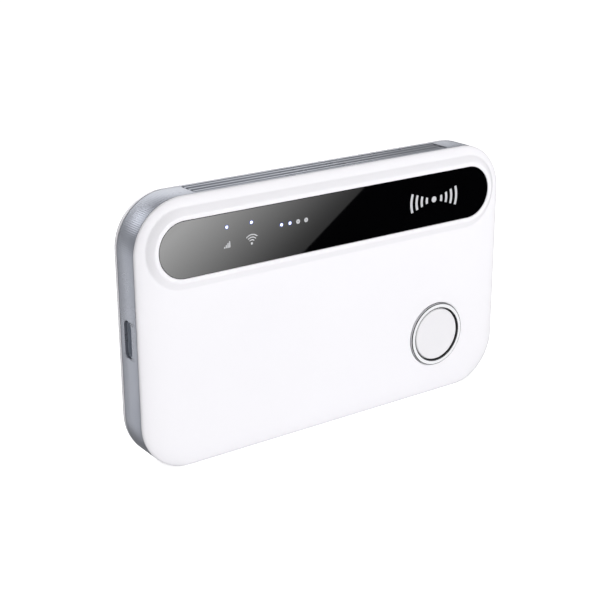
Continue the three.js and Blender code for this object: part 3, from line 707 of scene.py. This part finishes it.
def makePane():
    rings = [(pane["edgeRound"] * (1 - math.sin(t)), pane["front"] + pane["edgeRound"] * (1 - math.cos(t)))
             for t in np.linspace(0, math.pi / 2, 5)]
    rings += [(0, pane["back"])]
    loops = []
    for inset, y in rings:
        loops.append([(x, y, z) for x, z, _ in windowLoop(-window["gap"] - inset, 0.4)])
    return meshObject("windowPane", *loft(loops), blackPmma, "hotspot_body", "black_window",
                      ["display_window"])


windowPane = makePane()


def flatPrism(outline, front, back):  # an outline in x and z with a little thickness
    loops = [[(x, y, z) for x, z in outline] for y in (front, back)]
    return loft(loops)


def joinShapes(shapes):
    verts, faces = [], []
    for shapeVerts, shapeFaces in shapes:
        first = len(verts)
        verts += shapeVerts
        faces += [tuple(first + i for i in face) for face in shapeFaces]
    return verts, faces


def bandArc(x, z, radius, width, fromDeg, toDeg, steps=24):  # part of a flat ring
    angles = np.radians(np.linspace(fromDeg, toDeg, steps))
    wide, narrow = radius + width / 2, radius - width / 2
    outer = [(x + wide * math.cos(a), z + wide * math.sin(a)) for a in angles]
    inner = [(x + narrow * math.cos(a), z + narrow * math.sin(a)) for a in angles[::-1]]
    return outer + inner


def dot(x, z, radius, steps=32):
    return [(x + radius * math.cos(a), z + radius * math.sin(a))
            for a in np.linspace(0, 2 * math.pi, steps, endpoint=False)]


def bar(x0, x1, z0, z1):
    return [(x0, z0), (x1, z0), (x1, z1), (x0, z1)]


ink = {"proud": 0.015, "sunk": 0.02}
marks = {"signalX": -30.65, "signalZ": -1.5, "signalBars": 4, "signalWidth": 1.75, "signalHeight": 1.45,
         "wifiX": -23.4, "wifiZ": -1.6, "wifiDot": 0.3, "wifiRadii": (0.85, 1.45, 2.05), "wifiLine": 0.23,
         "castX": 29.3, "castZ": 0, "castDot": 0.75, "castRadii": (2.3, 3.9, 5.5, 7.1), "castLine": 0.68,
         "castSpread": 19, "lampRadius": 0.36, "fringeRadius": 0.52}


def inkObject(name, outlines, material, slot, replaced):
    z0 = window["middle"]
    front, back = pane["front"] - ink["proud"], pane["front"] + ink["sunk"]
    shapes = [flatPrism([(x, z0 + z) for x, z in outline], front, back) for outline in outlines]
    return meshObject(name, *joinShapes(shapes), material, "hotspot_body", slot, replaced, smoothAngle=None)


def symbolOutlines():
    m = marks
    pitch = m["signalWidth"] / m["signalBars"]
    outlines = [bar(m["signalX"] + i * pitch, m["signalX"] + (i + 0.7) * pitch, m["signalZ"],
                    m["signalZ"] + m["signalHeight"] * (i + 1) / m["signalBars"])
                for i in range(m["signalBars"])]
    outlines.append(dot(m["wifiX"], m["wifiZ"], m["wifiDot"]))
    outlines += [bandArc(m["wifiX"], m["wifiZ"], r, m["wifiLine"], 45, 135) for r in m["wifiRadii"]]
    return outlines


def castOutlines():  # a plain broadcast sign: a dot with waves to both sides
    m = marks
    outlines = [dot(m["castX"], m["castZ"], m["castDot"])]
    for radius in m["castRadii"]:
        spread = m["castSpread"]
        outlines.append(bandArc(m["castX"], m["castZ"], radius, m["castLine"], -spread, spread))
        outlines.append(bandArc(m["castX"], m["castZ"], radius, m["castLine"], 180 - spread, 180 + spread))
    return outlines


statusSymbols = inkObject("statusSymbols", symbolOutlines(), printInk, "lamp_lens", None)
broadcastSign = inkObject("broadcastSign", castOutlines(), printInk, "lamp_lens", None)


def lampDot(node, radius, proud, material, kind):
    low, high = boxOf(node)
    outline = dot((low[0] + high[0]) / 2, (low[2] + high[2]) / 2, radius)
    verts, faces = flatPrism(outline, pane["front"] - proud, pane["front"] + ink["sunk"])
    name = node.replace("_led_", "Lamp") + kind
    meshObject(name, verts, faces, material, "hotspot_body", "lamp_lens", None, smoothAngle=None)


for node in ("status_led_1", "status_led_2", "battery_led_1", "battery_led_2"):
    lampDot(node, marks["fringeRadius"], ink["proud"], litFringe, "Fringe")
    lampDot(node, marks["lampRadius"], ink["proud"] * 1.6, litDot, "Dot")
for node in ("battery_led_3", "battery_led_4"):
    lampDot(node, marks["fringeRadius"], ink["proud"], printInk, "Rim")
    lampDot(node, marks["lampRadius"] * 0.6, ink["proud"] * 1.6, milkyDot, "Dot")
print("window made")

# ---- power button and ring

# the ring's inner wall leaves room for a thin black liner, painted shade for the gap round the cap
ringShape = {"outer": ringPlace["radius"], "inner": 6.84, "sleeve": 0.1, "rounding": 0.26}
button = {"front": boxOf("power_button")[0][1], "back": boxOf("power_button")[1][1], "radius": 6.66}


def makeRing():
    front, back = ringPlace["front"], ringPlace["back"]
    outer, inner = ringShape["outer"], ringShape["inner"]
    turn = ringShape["rounding"]
    profile = [(inner + ringShape["sleeve"], back), (inner + ringShape["sleeve"], front + 0.14)]
    profile += [(inner + 0.15, front + 0.05), (inner + 0.22, front + 0.01), (inner + 0.28, front)]
    profile += [(outer - turn + turn * math.sin(t), front + turn * (1 - math.cos(t)))
                for t in np.linspace(0, math.pi / 2, 9)]
    profile += [(outer, back), profile[0]]
    return meshObject("buttonRing", *turnedMesh(profile, ringPlace["x"], ringPlace["z"], 160), chromePlate,
                      "hotspot_body", "chrome_trim", ["button_ring"], smoothAngle=50)


def makeShadeLiner():  # black liner inside the ring, painted shade: a dark part that stands in for the shadowed gap beside the cap
    front, back = ringPlace["front"] + 0.13, ringPlace["back"] + 0.6
    inner, outer = ringShape["inner"], ringShape["inner"] + ringShape["sleeve"]
    profile = [(inner, back), (inner, front), (outer, front), (outer, back), (inner, back)]
    return meshObject("buttonSeal", *turnedMesh(profile, ringPlace["x"], ringPlace["z"], 160), sparkedAbs,
                      "hotspot_body", "black_plastic", None)


def makeCap():
    front, back, radius = button["front"], button["back"], button["radius"]
    profile = [(0, front + 0.2), (2.5, front + 0.195), (4.2, front + 0.16), (5.2, front + 0.09),
               (5.8, front + 0.03)]
    profile += [(radius - 0.45 + 0.45 * math.sin(t), front + 0.4 * (1 - math.cos(t)))
                for t in np.linspace(0, math.pi / 2, 10)]
    profile += [(radius, front + 1.7), (7.5, front + 1.75), (7.5, back), (0, back)]
    return meshObject("buttonCap", *turnedMesh(profile, ringPlace["x"], ringPlace["z"], 160), satinAbs,
                      "power_button", "white_gloss", ["power_button"])


buttonRing = makeRing()
makeShadeLiner()
makeCap()
print("button made")

# ---- plug socket


def makeUsbShell():
    mouth, end, wall = usb["mouthX"], usb["endX"], usb["wall"]
    rows = [(end, 0), (mouth + 0.08, 0), (mouth, 0.08), (mouth, wall - 0.06), (mouth + 0.06, wall),
            (end - wall, wall)]
    return meshObject("usbShell", *loft([uprightStadium(x, -shrink) for x, shrink in rows]), mattTin,
                      "hotspot_body", "pressed_steel", ["usb_shell"], smoothAngle=45)


def roundedBlock(low, high, corner, edge, axis=1, material=None, name=None, body="hotspot_body", slot=None,
                 replaced=None):
    # a block with rounded corners about one axis and softened ends along it
    others = [i for i in range(3) if i != axis]
    half = [(high[i] - low[i]) / 2 for i in others]
    middle = [(high[i] + low[i]) / 2 for i in others]
    size = (half[0], half[1], corner)
    turns = np.radians((0, 30, 60, 90))
    rows = [(low[axis] + edge * (1 - math.sin(t)), edge * (1 - math.cos(t))) for t in turns[::-1]]
    rows += [(high[axis] - edge * (1 - math.sin(t)), edge * (1 - math.cos(t))) for t in turns]
    loops = []
    for along, inset in rows:
        loop = []
        for u, v, _ in roundedLoop(size, inset, (1, 1, 6), middle):
            point = [0, 0, 0]
            point[axis], point[others[0]], point[others[1]] = along, u, v
            loop.append(tuple(point))
        loops.append(loop)
    return meshObject(name, *loft(loops), material, body, slot, replaced)


makeUsbShell()
low, high = boxOf("usb_tongue")
roundedBlock(low, high, 0.3, 0.12, axis=0, material=slatePolymer, name="usbTongue", slot="black_plastic",
             replaced=["usb_tongue"])
print("plug socket made")

# ---- repeated pieces


def copiesTree(name, material):
    # stands a copy of the piece at each step of a grid
    tree, keys, given, ending = newTree(name, ("Count across", "Count up", "Pitch across", "Pitch up"))
    stepX = addNode(tree, "ShaderNodeCombineXYZ", {"X": given.outputs["Pitch across"]})
    stepZ = addNode(tree, "ShaderNodeCombineXYZ", {"Z": given.outputs["Pitch up"]})
    across = addNode(tree, "GeometryNodeMeshLine",
                     {"Count": given.outputs["Count across"], "Offset": stepX.outputs[0]})
    up = addNode(tree, "GeometryNodeMeshLine",
                 {"Count": given.outputs["Count up"], "Offset": stepZ.outputs[0]})
    row = addNode(tree, "GeometryNodeInstanceOnPoints",
                  {"Points": across.outputs[0], "Instance": given.outputs["Geometry"]})
    rows = addNode(tree, "GeometryNodeInstanceOnPoints",
                   {"Points": up.outputs[0], "Instance": row.outputs[0]})
    endTree(tree, ending, rows.outputs[0], material)
    return tree, keys


def copyPiece(piece, material, countAcross, countUp, pitchAcross, pitchUp):
    tree, keys = copiesTree(piece.name + "Copies", material)
    runTree(piece, tree, keys, {"Count across": countAcross, "Count up": countUp,
                                "Pitch across": pitchAcross * mm, "Pitch up": pitchUp * mm})


def usbContacts():  # twelve gold contacts along the face of the tongue
    low, high = boxOf("usb_tongue")
    pitch = 0.5
    first = (low[2] + high[2]) / 2 - 5.5 * pitch
    padLow = (low[0] + 0.5, low[1] - 0.03, first - 0.13)
    padHigh = (low[0] + 3.6, low[1] + 0.05, first + 0.13)
    pad = roundedBlock(padLow, padHigh, 0.06, 0.02, material=hardGold, name="usbContacts", body=None)
    copyPiece(pad, hardGold, 1, 12, 0, pitch)
    fitPiece(pad, "hotspot_body", None)


usbContacts()

screw = {"head": 1.3, "crown": 0.25, "slotLength": 1.5, "slotWidth": 0.36, "slotDepth": 0.4}


def screwTree(material, places):
    # one screw on each vertex of a small mesh of places
    tree, keys, given, ending = newTree("trayScrewPlaces", ())
    stand = addNode(tree, "GeometryNodeObjectInfo")
    stand.inputs["Object"].default_value = places
    copies = addNode(tree, "GeometryNodeInstanceOnPoints",
                     {"Points": stand.outputs["Geometry"], "Instance": given.outputs["Geometry"]})
    endTree(tree, ending, copies.outputs[0], material)
    return tree, keys


def makeScrews():
    nodesForScrews = [f"tray_screw_{i}" for i in range(1, 7)]
    boxes = [boxOf(node) for node in nodesForScrews]
    bottom, top = boxes[0][0][1], boxes[0][1][1]
    radius, crown = screw["head"], screw["crown"]
    profile = [(0, bottom), (radius, bottom), (radius, top - crown)]
    profile += [(radius * math.cos(t), top - crown + crown * math.sin(t)) for t in np.linspace(0.3, 1.35, 5)]
    profile += [(0, top)]
    piece = meshObject("trayScrews", *turnedMesh(profile, 0, 0, 32), blackZinc, None, None, None)
    cutters = []
    for x, z in ((screw["slotLength"], screw["slotWidth"]), (screw["slotWidth"], screw["slotLength"])):
        slotLow, slotHigh = (-x / 2, top - screw["slotDepth"], -z / 2), (x / 2, top + 0.3, z / 2)
        cutter = roundedBlock(slotLow, slotHigh, 0.1, 0.02, material=blackZinc, name="slotCutter",
                              body=None)
        cutters.append(cutter)
        tool = piece.modifiers.new("slot", "BOOLEAN")
        tool.operation, tool.solver, tool.object = "DIFFERENCE", "EXACT", cutter
    bakeModifiers(piece)
    places = bpy.data.objects.new("screwPlaces", bpy.data.meshes.new("screwPlaces"))
    centres = [((low[0] + high[0]) / 2 * mm, 0, (low[2] + high[2]) / 2 * mm) for low, high in boxes]
    places.data.from_pydata(centres, [], [])
    bpy.context.scene.collection.objects.link(places)
    runTree(piece, *screwTree(blackZinc, places), {})
    for spare in (*cutters, places):
        bpy.data.objects.remove(spare)
    piece.data.shade_smooth()
    piece.data.set_sharp_from_angle(angle=math.radians(32))
    fitPiece(piece, "hotspot_body", nodesForScrews)


makeScrews()
print("contacts and screws made")

# ---- battery and labels


def inkBars(name, bars, y, proud, body="hotspot_body"):  # (x0, z0, x1, z1) blocks of print facing back
    shapes = [flatPrism(bar(x0, x1, z0, z1), y - 0.02, y + proud) for x0, z0, x1, z1 in bars]
    return meshObject(name, *joinShapes(shapes), darkInk, body, "paper_label", None, smoothAngle=None)


def makeBattery():
    low, high = boxOf("battery")
    roundedBlock(low, high, 2.2, 0.5, material=cellWrap, name="batteryPack", slot="cell_wrap",
                 replaced=["battery"])
    low, high = boxOf("battery_label")
    roundedBlock(low, high, 1.2, 0.02, material=coatedPaper, name="batteryLabel", slot="paper_label",
                 replaced=["battery_label"])
    right, top = high[0] - 3, high[2] - 4
    bars = [(right - 26, top - 3.4, right, top)]  # heading block, then lines of small print
    for row, length in enumerate((40, 44, 36, 42, 30)):
        bars.append((right - length, top - 7.4 - row * 2.4, right, top - 6.5 - row * 2.4))
    codeWidths = (0.7, 0.3, 0.5, 0.9, 0.3, 0.6, 0.3, 0.8, 0.4, 0.9, 0.3, 0.5, 0.7, 0.3, 0.8, 0.4)
    bars += [(low[0] + 4 + i * 1.1, low[2] + 3, low[0] + 4 + i * 1.1 + w, low[2] + 9)
             for i, w in enumerate(codeWidths)]
    cellX, cellZ = high[0] - 7, low[2] + 6.5  # a plus and a minus by the contacts
    bars += [(cellX - 2, cellZ - 0.35, cellX + 2, cellZ + 0.35),
             (cellX - 0.35, cellZ - 2, cellX + 0.35, cellZ + 2),
             (cellX - 9, cellZ - 0.35, cellX - 5, cellZ + 0.35)]
    inkBars("batteryPrint", bars, high[1], 0.01)


makeBattery()

# ---- SIM card


def makeSimCard():
    low, high = boxOf("sim_card")
    cut = 2.2
    outline = [(low[0] + 0.8, low[2]), (high[0] - 0.8, low[2]), (high[0], low[2] + 0.8),
               (high[0], high[2] - cut), (high[0] - cut, high[2]), (low[0] + 0.8, high[2]),
               (low[0], high[2] - 0.8), (low[0], low[2] + 0.8)]
    bulk = flatPrism(outline, low[1], high[1])
    meshObject("simCard", *bulk, satinPvc, "sim_card", "sim_plastic", ["sim_card"], smoothAngle=None)


makeSimCard()

# ---- rear cover's clips and the front cover's lip

clip = {"inset": 2.0, "thick": 0.9, "halfWidth": 3.5, "low": 1.2, "high": 5.2, "hook": 0.25,
        "along": (-30, 0, 30), "upSides": (18, 45)}


def clipBlock(x, z, outward):  # a springy tab with a rounded hook on its free end
    across = (-outward[1], outward[0])
    section = [(0, clip["high"]), (0, clip["low"] + 0.9), (clip["hook"], clip["low"] + 0.6),
               (clip["hook"], clip["low"] + 0.3), (0, clip["low"]), (-clip["thick"], clip["low"]),
               (-clip["thick"], clip["high"])]
    loops = []
    for side in (-clip["halfWidth"], clip["halfWidth"]):
        loops.append([(x + outward[0] * (u - clip["inset"]) + across[0] * side, y,
                       z + outward[1] * (u - clip["inset"]) + across[1] * side) for u, y in section])
    return loft(loops)


def makeClips():
    shapes = []
    for x in clip["along"]:
        shapes += [clipBlock(x, 0, (0, -1)), clipBlock(x, 2 * casing["middle"], (0, 1))]
    for z in clip["upSides"]:
        shapes += [clipBlock(-casing["halfWidth"], z, (-1, 0)), clipBlock(casing["halfWidth"], z, (1, 0))]
    meshObject("rearClips", *joinShapes(shapes), polishedAbs, "rear_cover", "white_gloss", None)


def makeLip():
    rows = [(2.0, -5.0), (2.0, -3.9), (2.15, -3.75), (2.75, -3.75), (2.9, -3.9), (2.9, -5.0)]
    loops = [[(x, y, z) for x, z, _ in casingLoop(inset, 1.2)] for inset, y in rows]
    meshObject("frontLip", *loft(loops, capped=False), polishedAbs, "hotspot_body", "white_gloss", None)


makeClips()
makeLip()
print("battery, card and clips made")

# ---- finishes for the CAD pieces that keep their shape

finishes = {
    "window_adhesive": acrylicFoam, "light_block": sparkedAbs, "switch_plunger": sparkedAbs,
    "power_switch": nickelSteel, "main_board": greenMask, "modem_shield": nickelSteel,
    "wifi_shield": nickelSteel, "power_shield": nickelSteel, "modem_chip": chipEpoxy,
    "memory_chip": chipEpoxy, "wifi_chip": chipEpoxy, "power_chip": chipEpoxy,
    "sim_socket": nickelSteel, "reset_button": polishedAbs, "reset_switch": sparkedAbs,
    "battery_tray": sparkedAbs, "main_antenna": platedCopper, "diversity_antenna": platedCopper,
    "wifi_antenna_left": platedCopper, "wifi_antenna_right": platedCopper, "tray_label": coatedPaper,
    "contact_block": sparkedAbs,
}
finishes.update({f"battery_contact_{i}": hardGold for i in range(1, 5)})
finishes.update({f"status_led_{i}": milkyDot for i in range(1, 3)})
finishes.update({f"battery_led_{i}": milkyDot for i in range(1, 5)})
for node, finish in finishes.items():
    for holder in nodes[node].material_slots:
        holder.material = finish
print("finishes given to", len(finishes), "CAD pieces")

# ---- camera, floor and light

view = {"azimuth": -35.01, "elevation": 19.23, "roll": -0.376, "distance": 302.6, "lens": 80.56, "film": 36,
        "target": (-11.87, -7.35, 35.52)}


def makeCamera():
    azimuth, elevation, roll = (math.radians(view[k]) for k in ("azimuth", "elevation", "roll"))
    back = Vector((math.sin(azimuth) * math.cos(elevation), -math.cos(azimuth) * math.cos(elevation),
                   math.sin(elevation)))
    right = Vector((0, 0, 1)).cross(back).normalized()
    up = back.cross(right)
    turnedRight = math.cos(roll) * right + math.sin(roll) * up
    turnedUp = math.cos(roll) * up - math.sin(roll) * right
    data = bpy.data.cameras.new("camera")
    data.lens, data.sensor_width = view["lens"], view["film"]
    data.clip_start = 0.01
    camera = bpy.data.objects.new("camera", data)
    axes = Matrix((turnedRight, turnedUp, back)).transposed().to_4x4()
    axes.translation = (Vector(view["target"]) + back * view["distance"]) * mm
    camera.matrix_world = axes
    bpy.context.scene.collection.objects.link(camera)
    bpy.context.scene.camera = camera
    return camera


def makeFloor():
    half = 3000
    floor = meshObject("floor", [(-half, -half, 0), (half, -half, 0), (half, half, 0), (-half, half, 0)],
                       [(0, 1, 2, 3)], floorPaper, None, None, None, smoothAngle=None)
    if floor.data.polygons[0].normal.z < 0:
        floor.data.flip_normals()
    floor.visible_glossy = False  # the black window mirrors the light cards, not the table


def paperFloor():  # seamless white paper, kept white where it is seen directly
    material = moulded("whitePaper", "#F2F2F3", "#EFEFF0", 300, (0.85, 0.9), 3, 0.01)
    tree = material.node_tree
    shader = tree.nodes["Principled BSDF"]
    ray = addNode(tree, "ShaderNodeLightPath")
    seen = addNode(tree, "ShaderNodeMath", {0: ray.outputs["Is Camera Ray"], 1: 0.75}, operation="MULTIPLY")
    tree.links.new(seen.outputs[0], shader.inputs["Emission Strength"])
    shader.inputs["Emission Color"].default_value = (1, 1, 1, 1)
    return material


floorPaper = paperFloor()


def areaLight(name, place, aim, size, power):
    data = bpy.data.lights.new(name, "AREA")
    data.shape = "RECTANGLE"
    data.size, data.size_y = size[0] * mm, size[1] * mm
    data.energy = power
    light = bpy.data.objects.new(name, data)
    back = (Vector(place) - Vector(aim)).normalized()
    turn = back.to_track_quat("Z", "Y").to_matrix().to_4x4()
    light.matrix_world = Matrix.Translation(Vector(place) * mm) @ turn
    light.visible_glossy = False
    bpy.context.scene.collection.objects.link(light)
    return light


studio = {"ambient": 0.33, "plain": 1.05, "keyPower": 4.05, "rearPower": 2.8, "behind": 0.38,
          "lobes": (((-0.54, 0.77, -0.33), 0.93, 1.25), ((-0.42, 0.77, 0.475), 0.955, 3.6),
                    ((0.3, 0.88, 0.36), 0.85, 1.6), ((0.49, 0.84, -0.22), 0.93, 1.3))}


def makeWorld():
    # white where seen directly; soft and even for matt surfaces; for gloss, light behind and above only
    world = bpy.data.worlds.new("studio")
    bpy.context.scene.world = world
    world.use_nodes = True
    tree = world.node_tree
    tree.nodes.clear()
    output = addNode(tree, "ShaderNodeOutputWorld")
    ray = addNode(tree, "ShaderNodeLightPath")
    place = addNode(tree, "ShaderNodeTexCoord")
    behind = addNode(tree, "ShaderNodeVectorMath", {0: place.outputs["Generated"], 1: (-0.15, 0.85, 0.5)},
                     operation="DOT_PRODUCT")
    glow = addNode(tree, "ShaderNodeMapRange",
                   {"Value": behind.outputs["Value"], "From Min": -0.35, "From Max": 0.6,
                    "To Min": 0.0, "To Max": studio["behind"]})
    total = glow.outputs["Result"]
    for toward, edge, strength in studio["lobes"]:
        facing = addNode(tree, "ShaderNodeVectorMath", {0: place.outputs["Generated"], 1: toward},
                         operation="DOT_PRODUCT")
        lobe = addNode(tree, "ShaderNodeMapRange",
                       {"Value": facing.outputs["Value"], "From Min": edge, "From Max": 1.0, "To Min": 0.0,
                        "To Max": strength}, interpolation_type="SMOOTHSTEP")
        added = addNode(tree, "ShaderNodeMath", {0: total, 1: lobe.outputs["Result"]}, operation="ADD")
        total = added.outputs[0]
    glossy = addNode(tree, "ShaderNodeBackground", {"Color": (0.97, 0.98, 1, 1), "Strength": total})
    ambient = addNode(tree, "ShaderNodeBackground",
                      {"Color": (1, 0.992, 1, 1), "Strength": studio["ambient"]})
    plain = addNode(tree, "ShaderNodeBackground", {"Color": (1, 1, 1, 1), "Strength": studio["plain"]})
    first = addNode(tree, "ShaderNodeMixShader",
                    {0: ray.outputs["Is Glossy Ray"], 1: ambient.outputs[0], 2: glossy.outputs[0]})
    second = addNode(tree, "ShaderNodeMixShader",
                     {0: ray.outputs["Is Camera Ray"], 1: first.outputs[0], 2: plain.outputs[0]})
    tree.links.new(second.outputs[0], output.inputs["Surface"])


def onlyReflectedIn(card, pieces):  # a light card that nothing but these pieces mirrors
    card.visible_camera = card.visible_diffuse = card.visible_shadow = card.visible_transmission = False
    group = bpy.data.collections.new(card.name + "Receivers")
    for piece in pieces:
        group.objects.link(piece)
    card.light_linking.receiver_collection = group


def mirroredSpot(x, z, y):
    # where the camera's ray, mirrored in the window at x, z, meets the plane at this depth
    spot = Vector(view["target"]) + cameraBack * view["distance"]
    plane = pane["front"]
    eye = Vector((spot.x, 2 * plane - spot.y, spot.z))
    reach = (y - eye.y) / (plane - eye.y)
    return (eye.x + reach * (x - eye.x), y, eye.z + reach * (z - eye.z))


reflection = {"cardY": -150, "topX": 8.1, "bottomX": -9.9, "leftX": -145, "fade": 27.4, "steady": 31,
              "gone": 56, "bright": 8.4, "dim": 0.68}


def makeWindowCard():
    # a lit sheet with a slanted end, which grows brighter away from it and then dies away softly
    r = reflection
    z0, half = window["middle"], window["halfHeight"]
    slant = (r["topX"] - r["bottomX"]) / (2 * half)
    above, below = 3 * half, -3 * half
    corners = [mirroredSpot(r["leftX"], z0 + below, r["cardY"]),
               mirroredSpot((r["topX"] + r["bottomX"]) / 2 + slant * below, z0 + below, r["cardY"]),
               mirroredSpot((r["topX"] + r["bottomX"]) / 2 + slant * above, z0 + above, r["cardY"]),
               mirroredSpot(r["leftX"], z0 + above, r["cardY"])]
    material = bpy.data.materials.new("litSheet")
    material.use_nodes = True
    tree = material.node_tree
    tree.nodes.clear()
    edge = (Vector(corners[2]) - Vector(corners[1])).normalized()
    across = Vector((edge.z, 0, -edge.x))
    place = addNode(tree, "ShaderNodeTexCoord")
    offset = addNode(tree, "ShaderNodeVectorMath",
                     {0: place.outputs["Object"], 1: tuple(Vector(corners[1]) * mm)}, operation="SUBTRACT")
    inside = addNode(tree, "ShaderNodeVectorMath", {0: offset.outputs[0], 1: tuple(-across)},
                     operation="DOT_PRODUCT")
    enlarged = (corners[3][0] - corners[0][0] + corners[3][2] - corners[0][2]) / (above - below)
    far = addNode(tree, "ShaderNodeMapRange", {"Value": inside.outputs["Value"], "From Min": 0.0,
                                               "From Max": r["fade"] * enlarged * mm}, clamp=True)
    curve = addNode(tree, "ShaderNodeMath", {0: far.outputs["Result"], 1: 1.5}, operation="POWER")
    glow = addNode(tree, "ShaderNodeMath", {0: curve.outputs[0], 1: r["bright"] - r["dim"], 2: r["dim"]},
                   operation="MULTIPLY_ADD")
    dying = addNode(tree, "ShaderNodeMapRange", {"Value": inside.outputs["Value"],
                                                 "From Min": r["steady"] * enlarged * mm,
                                                 "From Max": r["gone"] * enlarged * mm, "To Min": 1.0,
                                                 "To Max": 0.0}, interpolation_type="SMOOTHSTEP")
    left = addNode(tree, "ShaderNodeMath", {0: glow.outputs[0], 1: dying.outputs["Result"]},
                   operation="MULTIPLY")
    emitter = addNode(tree, "ShaderNodeEmission", {"Color": (1, 1, 1, 1), "Strength": left.outputs[0]})
    addNode(tree, "ShaderNodeOutputMaterial", {"Surface": emitter.outputs[0]})
    card = meshObject("windowCard", corners, [(0, 1, 2, 3)], material, None, None, None, smoothAngle=None)
    onlyReflectedIn(card, [windowPane])


def makeWhiteCard(name, x, y, z, halfWidth, halfHeight, strength, pieces):  # an upright white sheet
    material = bpy.data.materials.new(name + "Sheet")
    material.use_nodes = True
    tree = material.node_tree
    tree.nodes.clear()
    emitter = addNode(tree, "ShaderNodeEmission", {"Color": (1, 1, 1, 1), "Strength": strength})
    addNode(tree, "ShaderNodeOutputMaterial", {"Surface": emitter.outputs[0]})
    corners = [(x + u * halfWidth, y, z + v * halfHeight) for u, v in ((-1, -1), (1, -1), (1, 1), (-1, 1))]
    card = meshObject(name, corners, [(0, 1, 2, 3)], material, None, None, None, smoothAngle=None)
    onlyReflectedIn(card, pieces)


def makeLight():
    bpy.context.scene.view_settings.view_transform = "Standard"
    makeWorld()
    areaLight("keyLight", (150, -720, 150), (0, 0, 32), (500, 240), studio["keyPower"])
    areaLight("rearLight", (-260, 650, 300), (0, 0, 32), (400, 400), studio["rearPower"])
    makeWindowCard()
    x, y, z = mirroredSpot(ringPlace["x"], ringPlace["z"], -300)
    makeWhiteCard("ringCard", x, y, z, 110, 110, 1.25, [buttonRing])
    makeWhiteCard("bandCard", 0, -450, 60, 700, 500, 0.75, [edgeBand, topStrip, rearShell])


camera = makeCamera()
cameraBack = camera.matrix_world.to_3x3() @ Vector((0, 0, 1))
makeFloor()
makeLight()
print("camera, floor and light made")
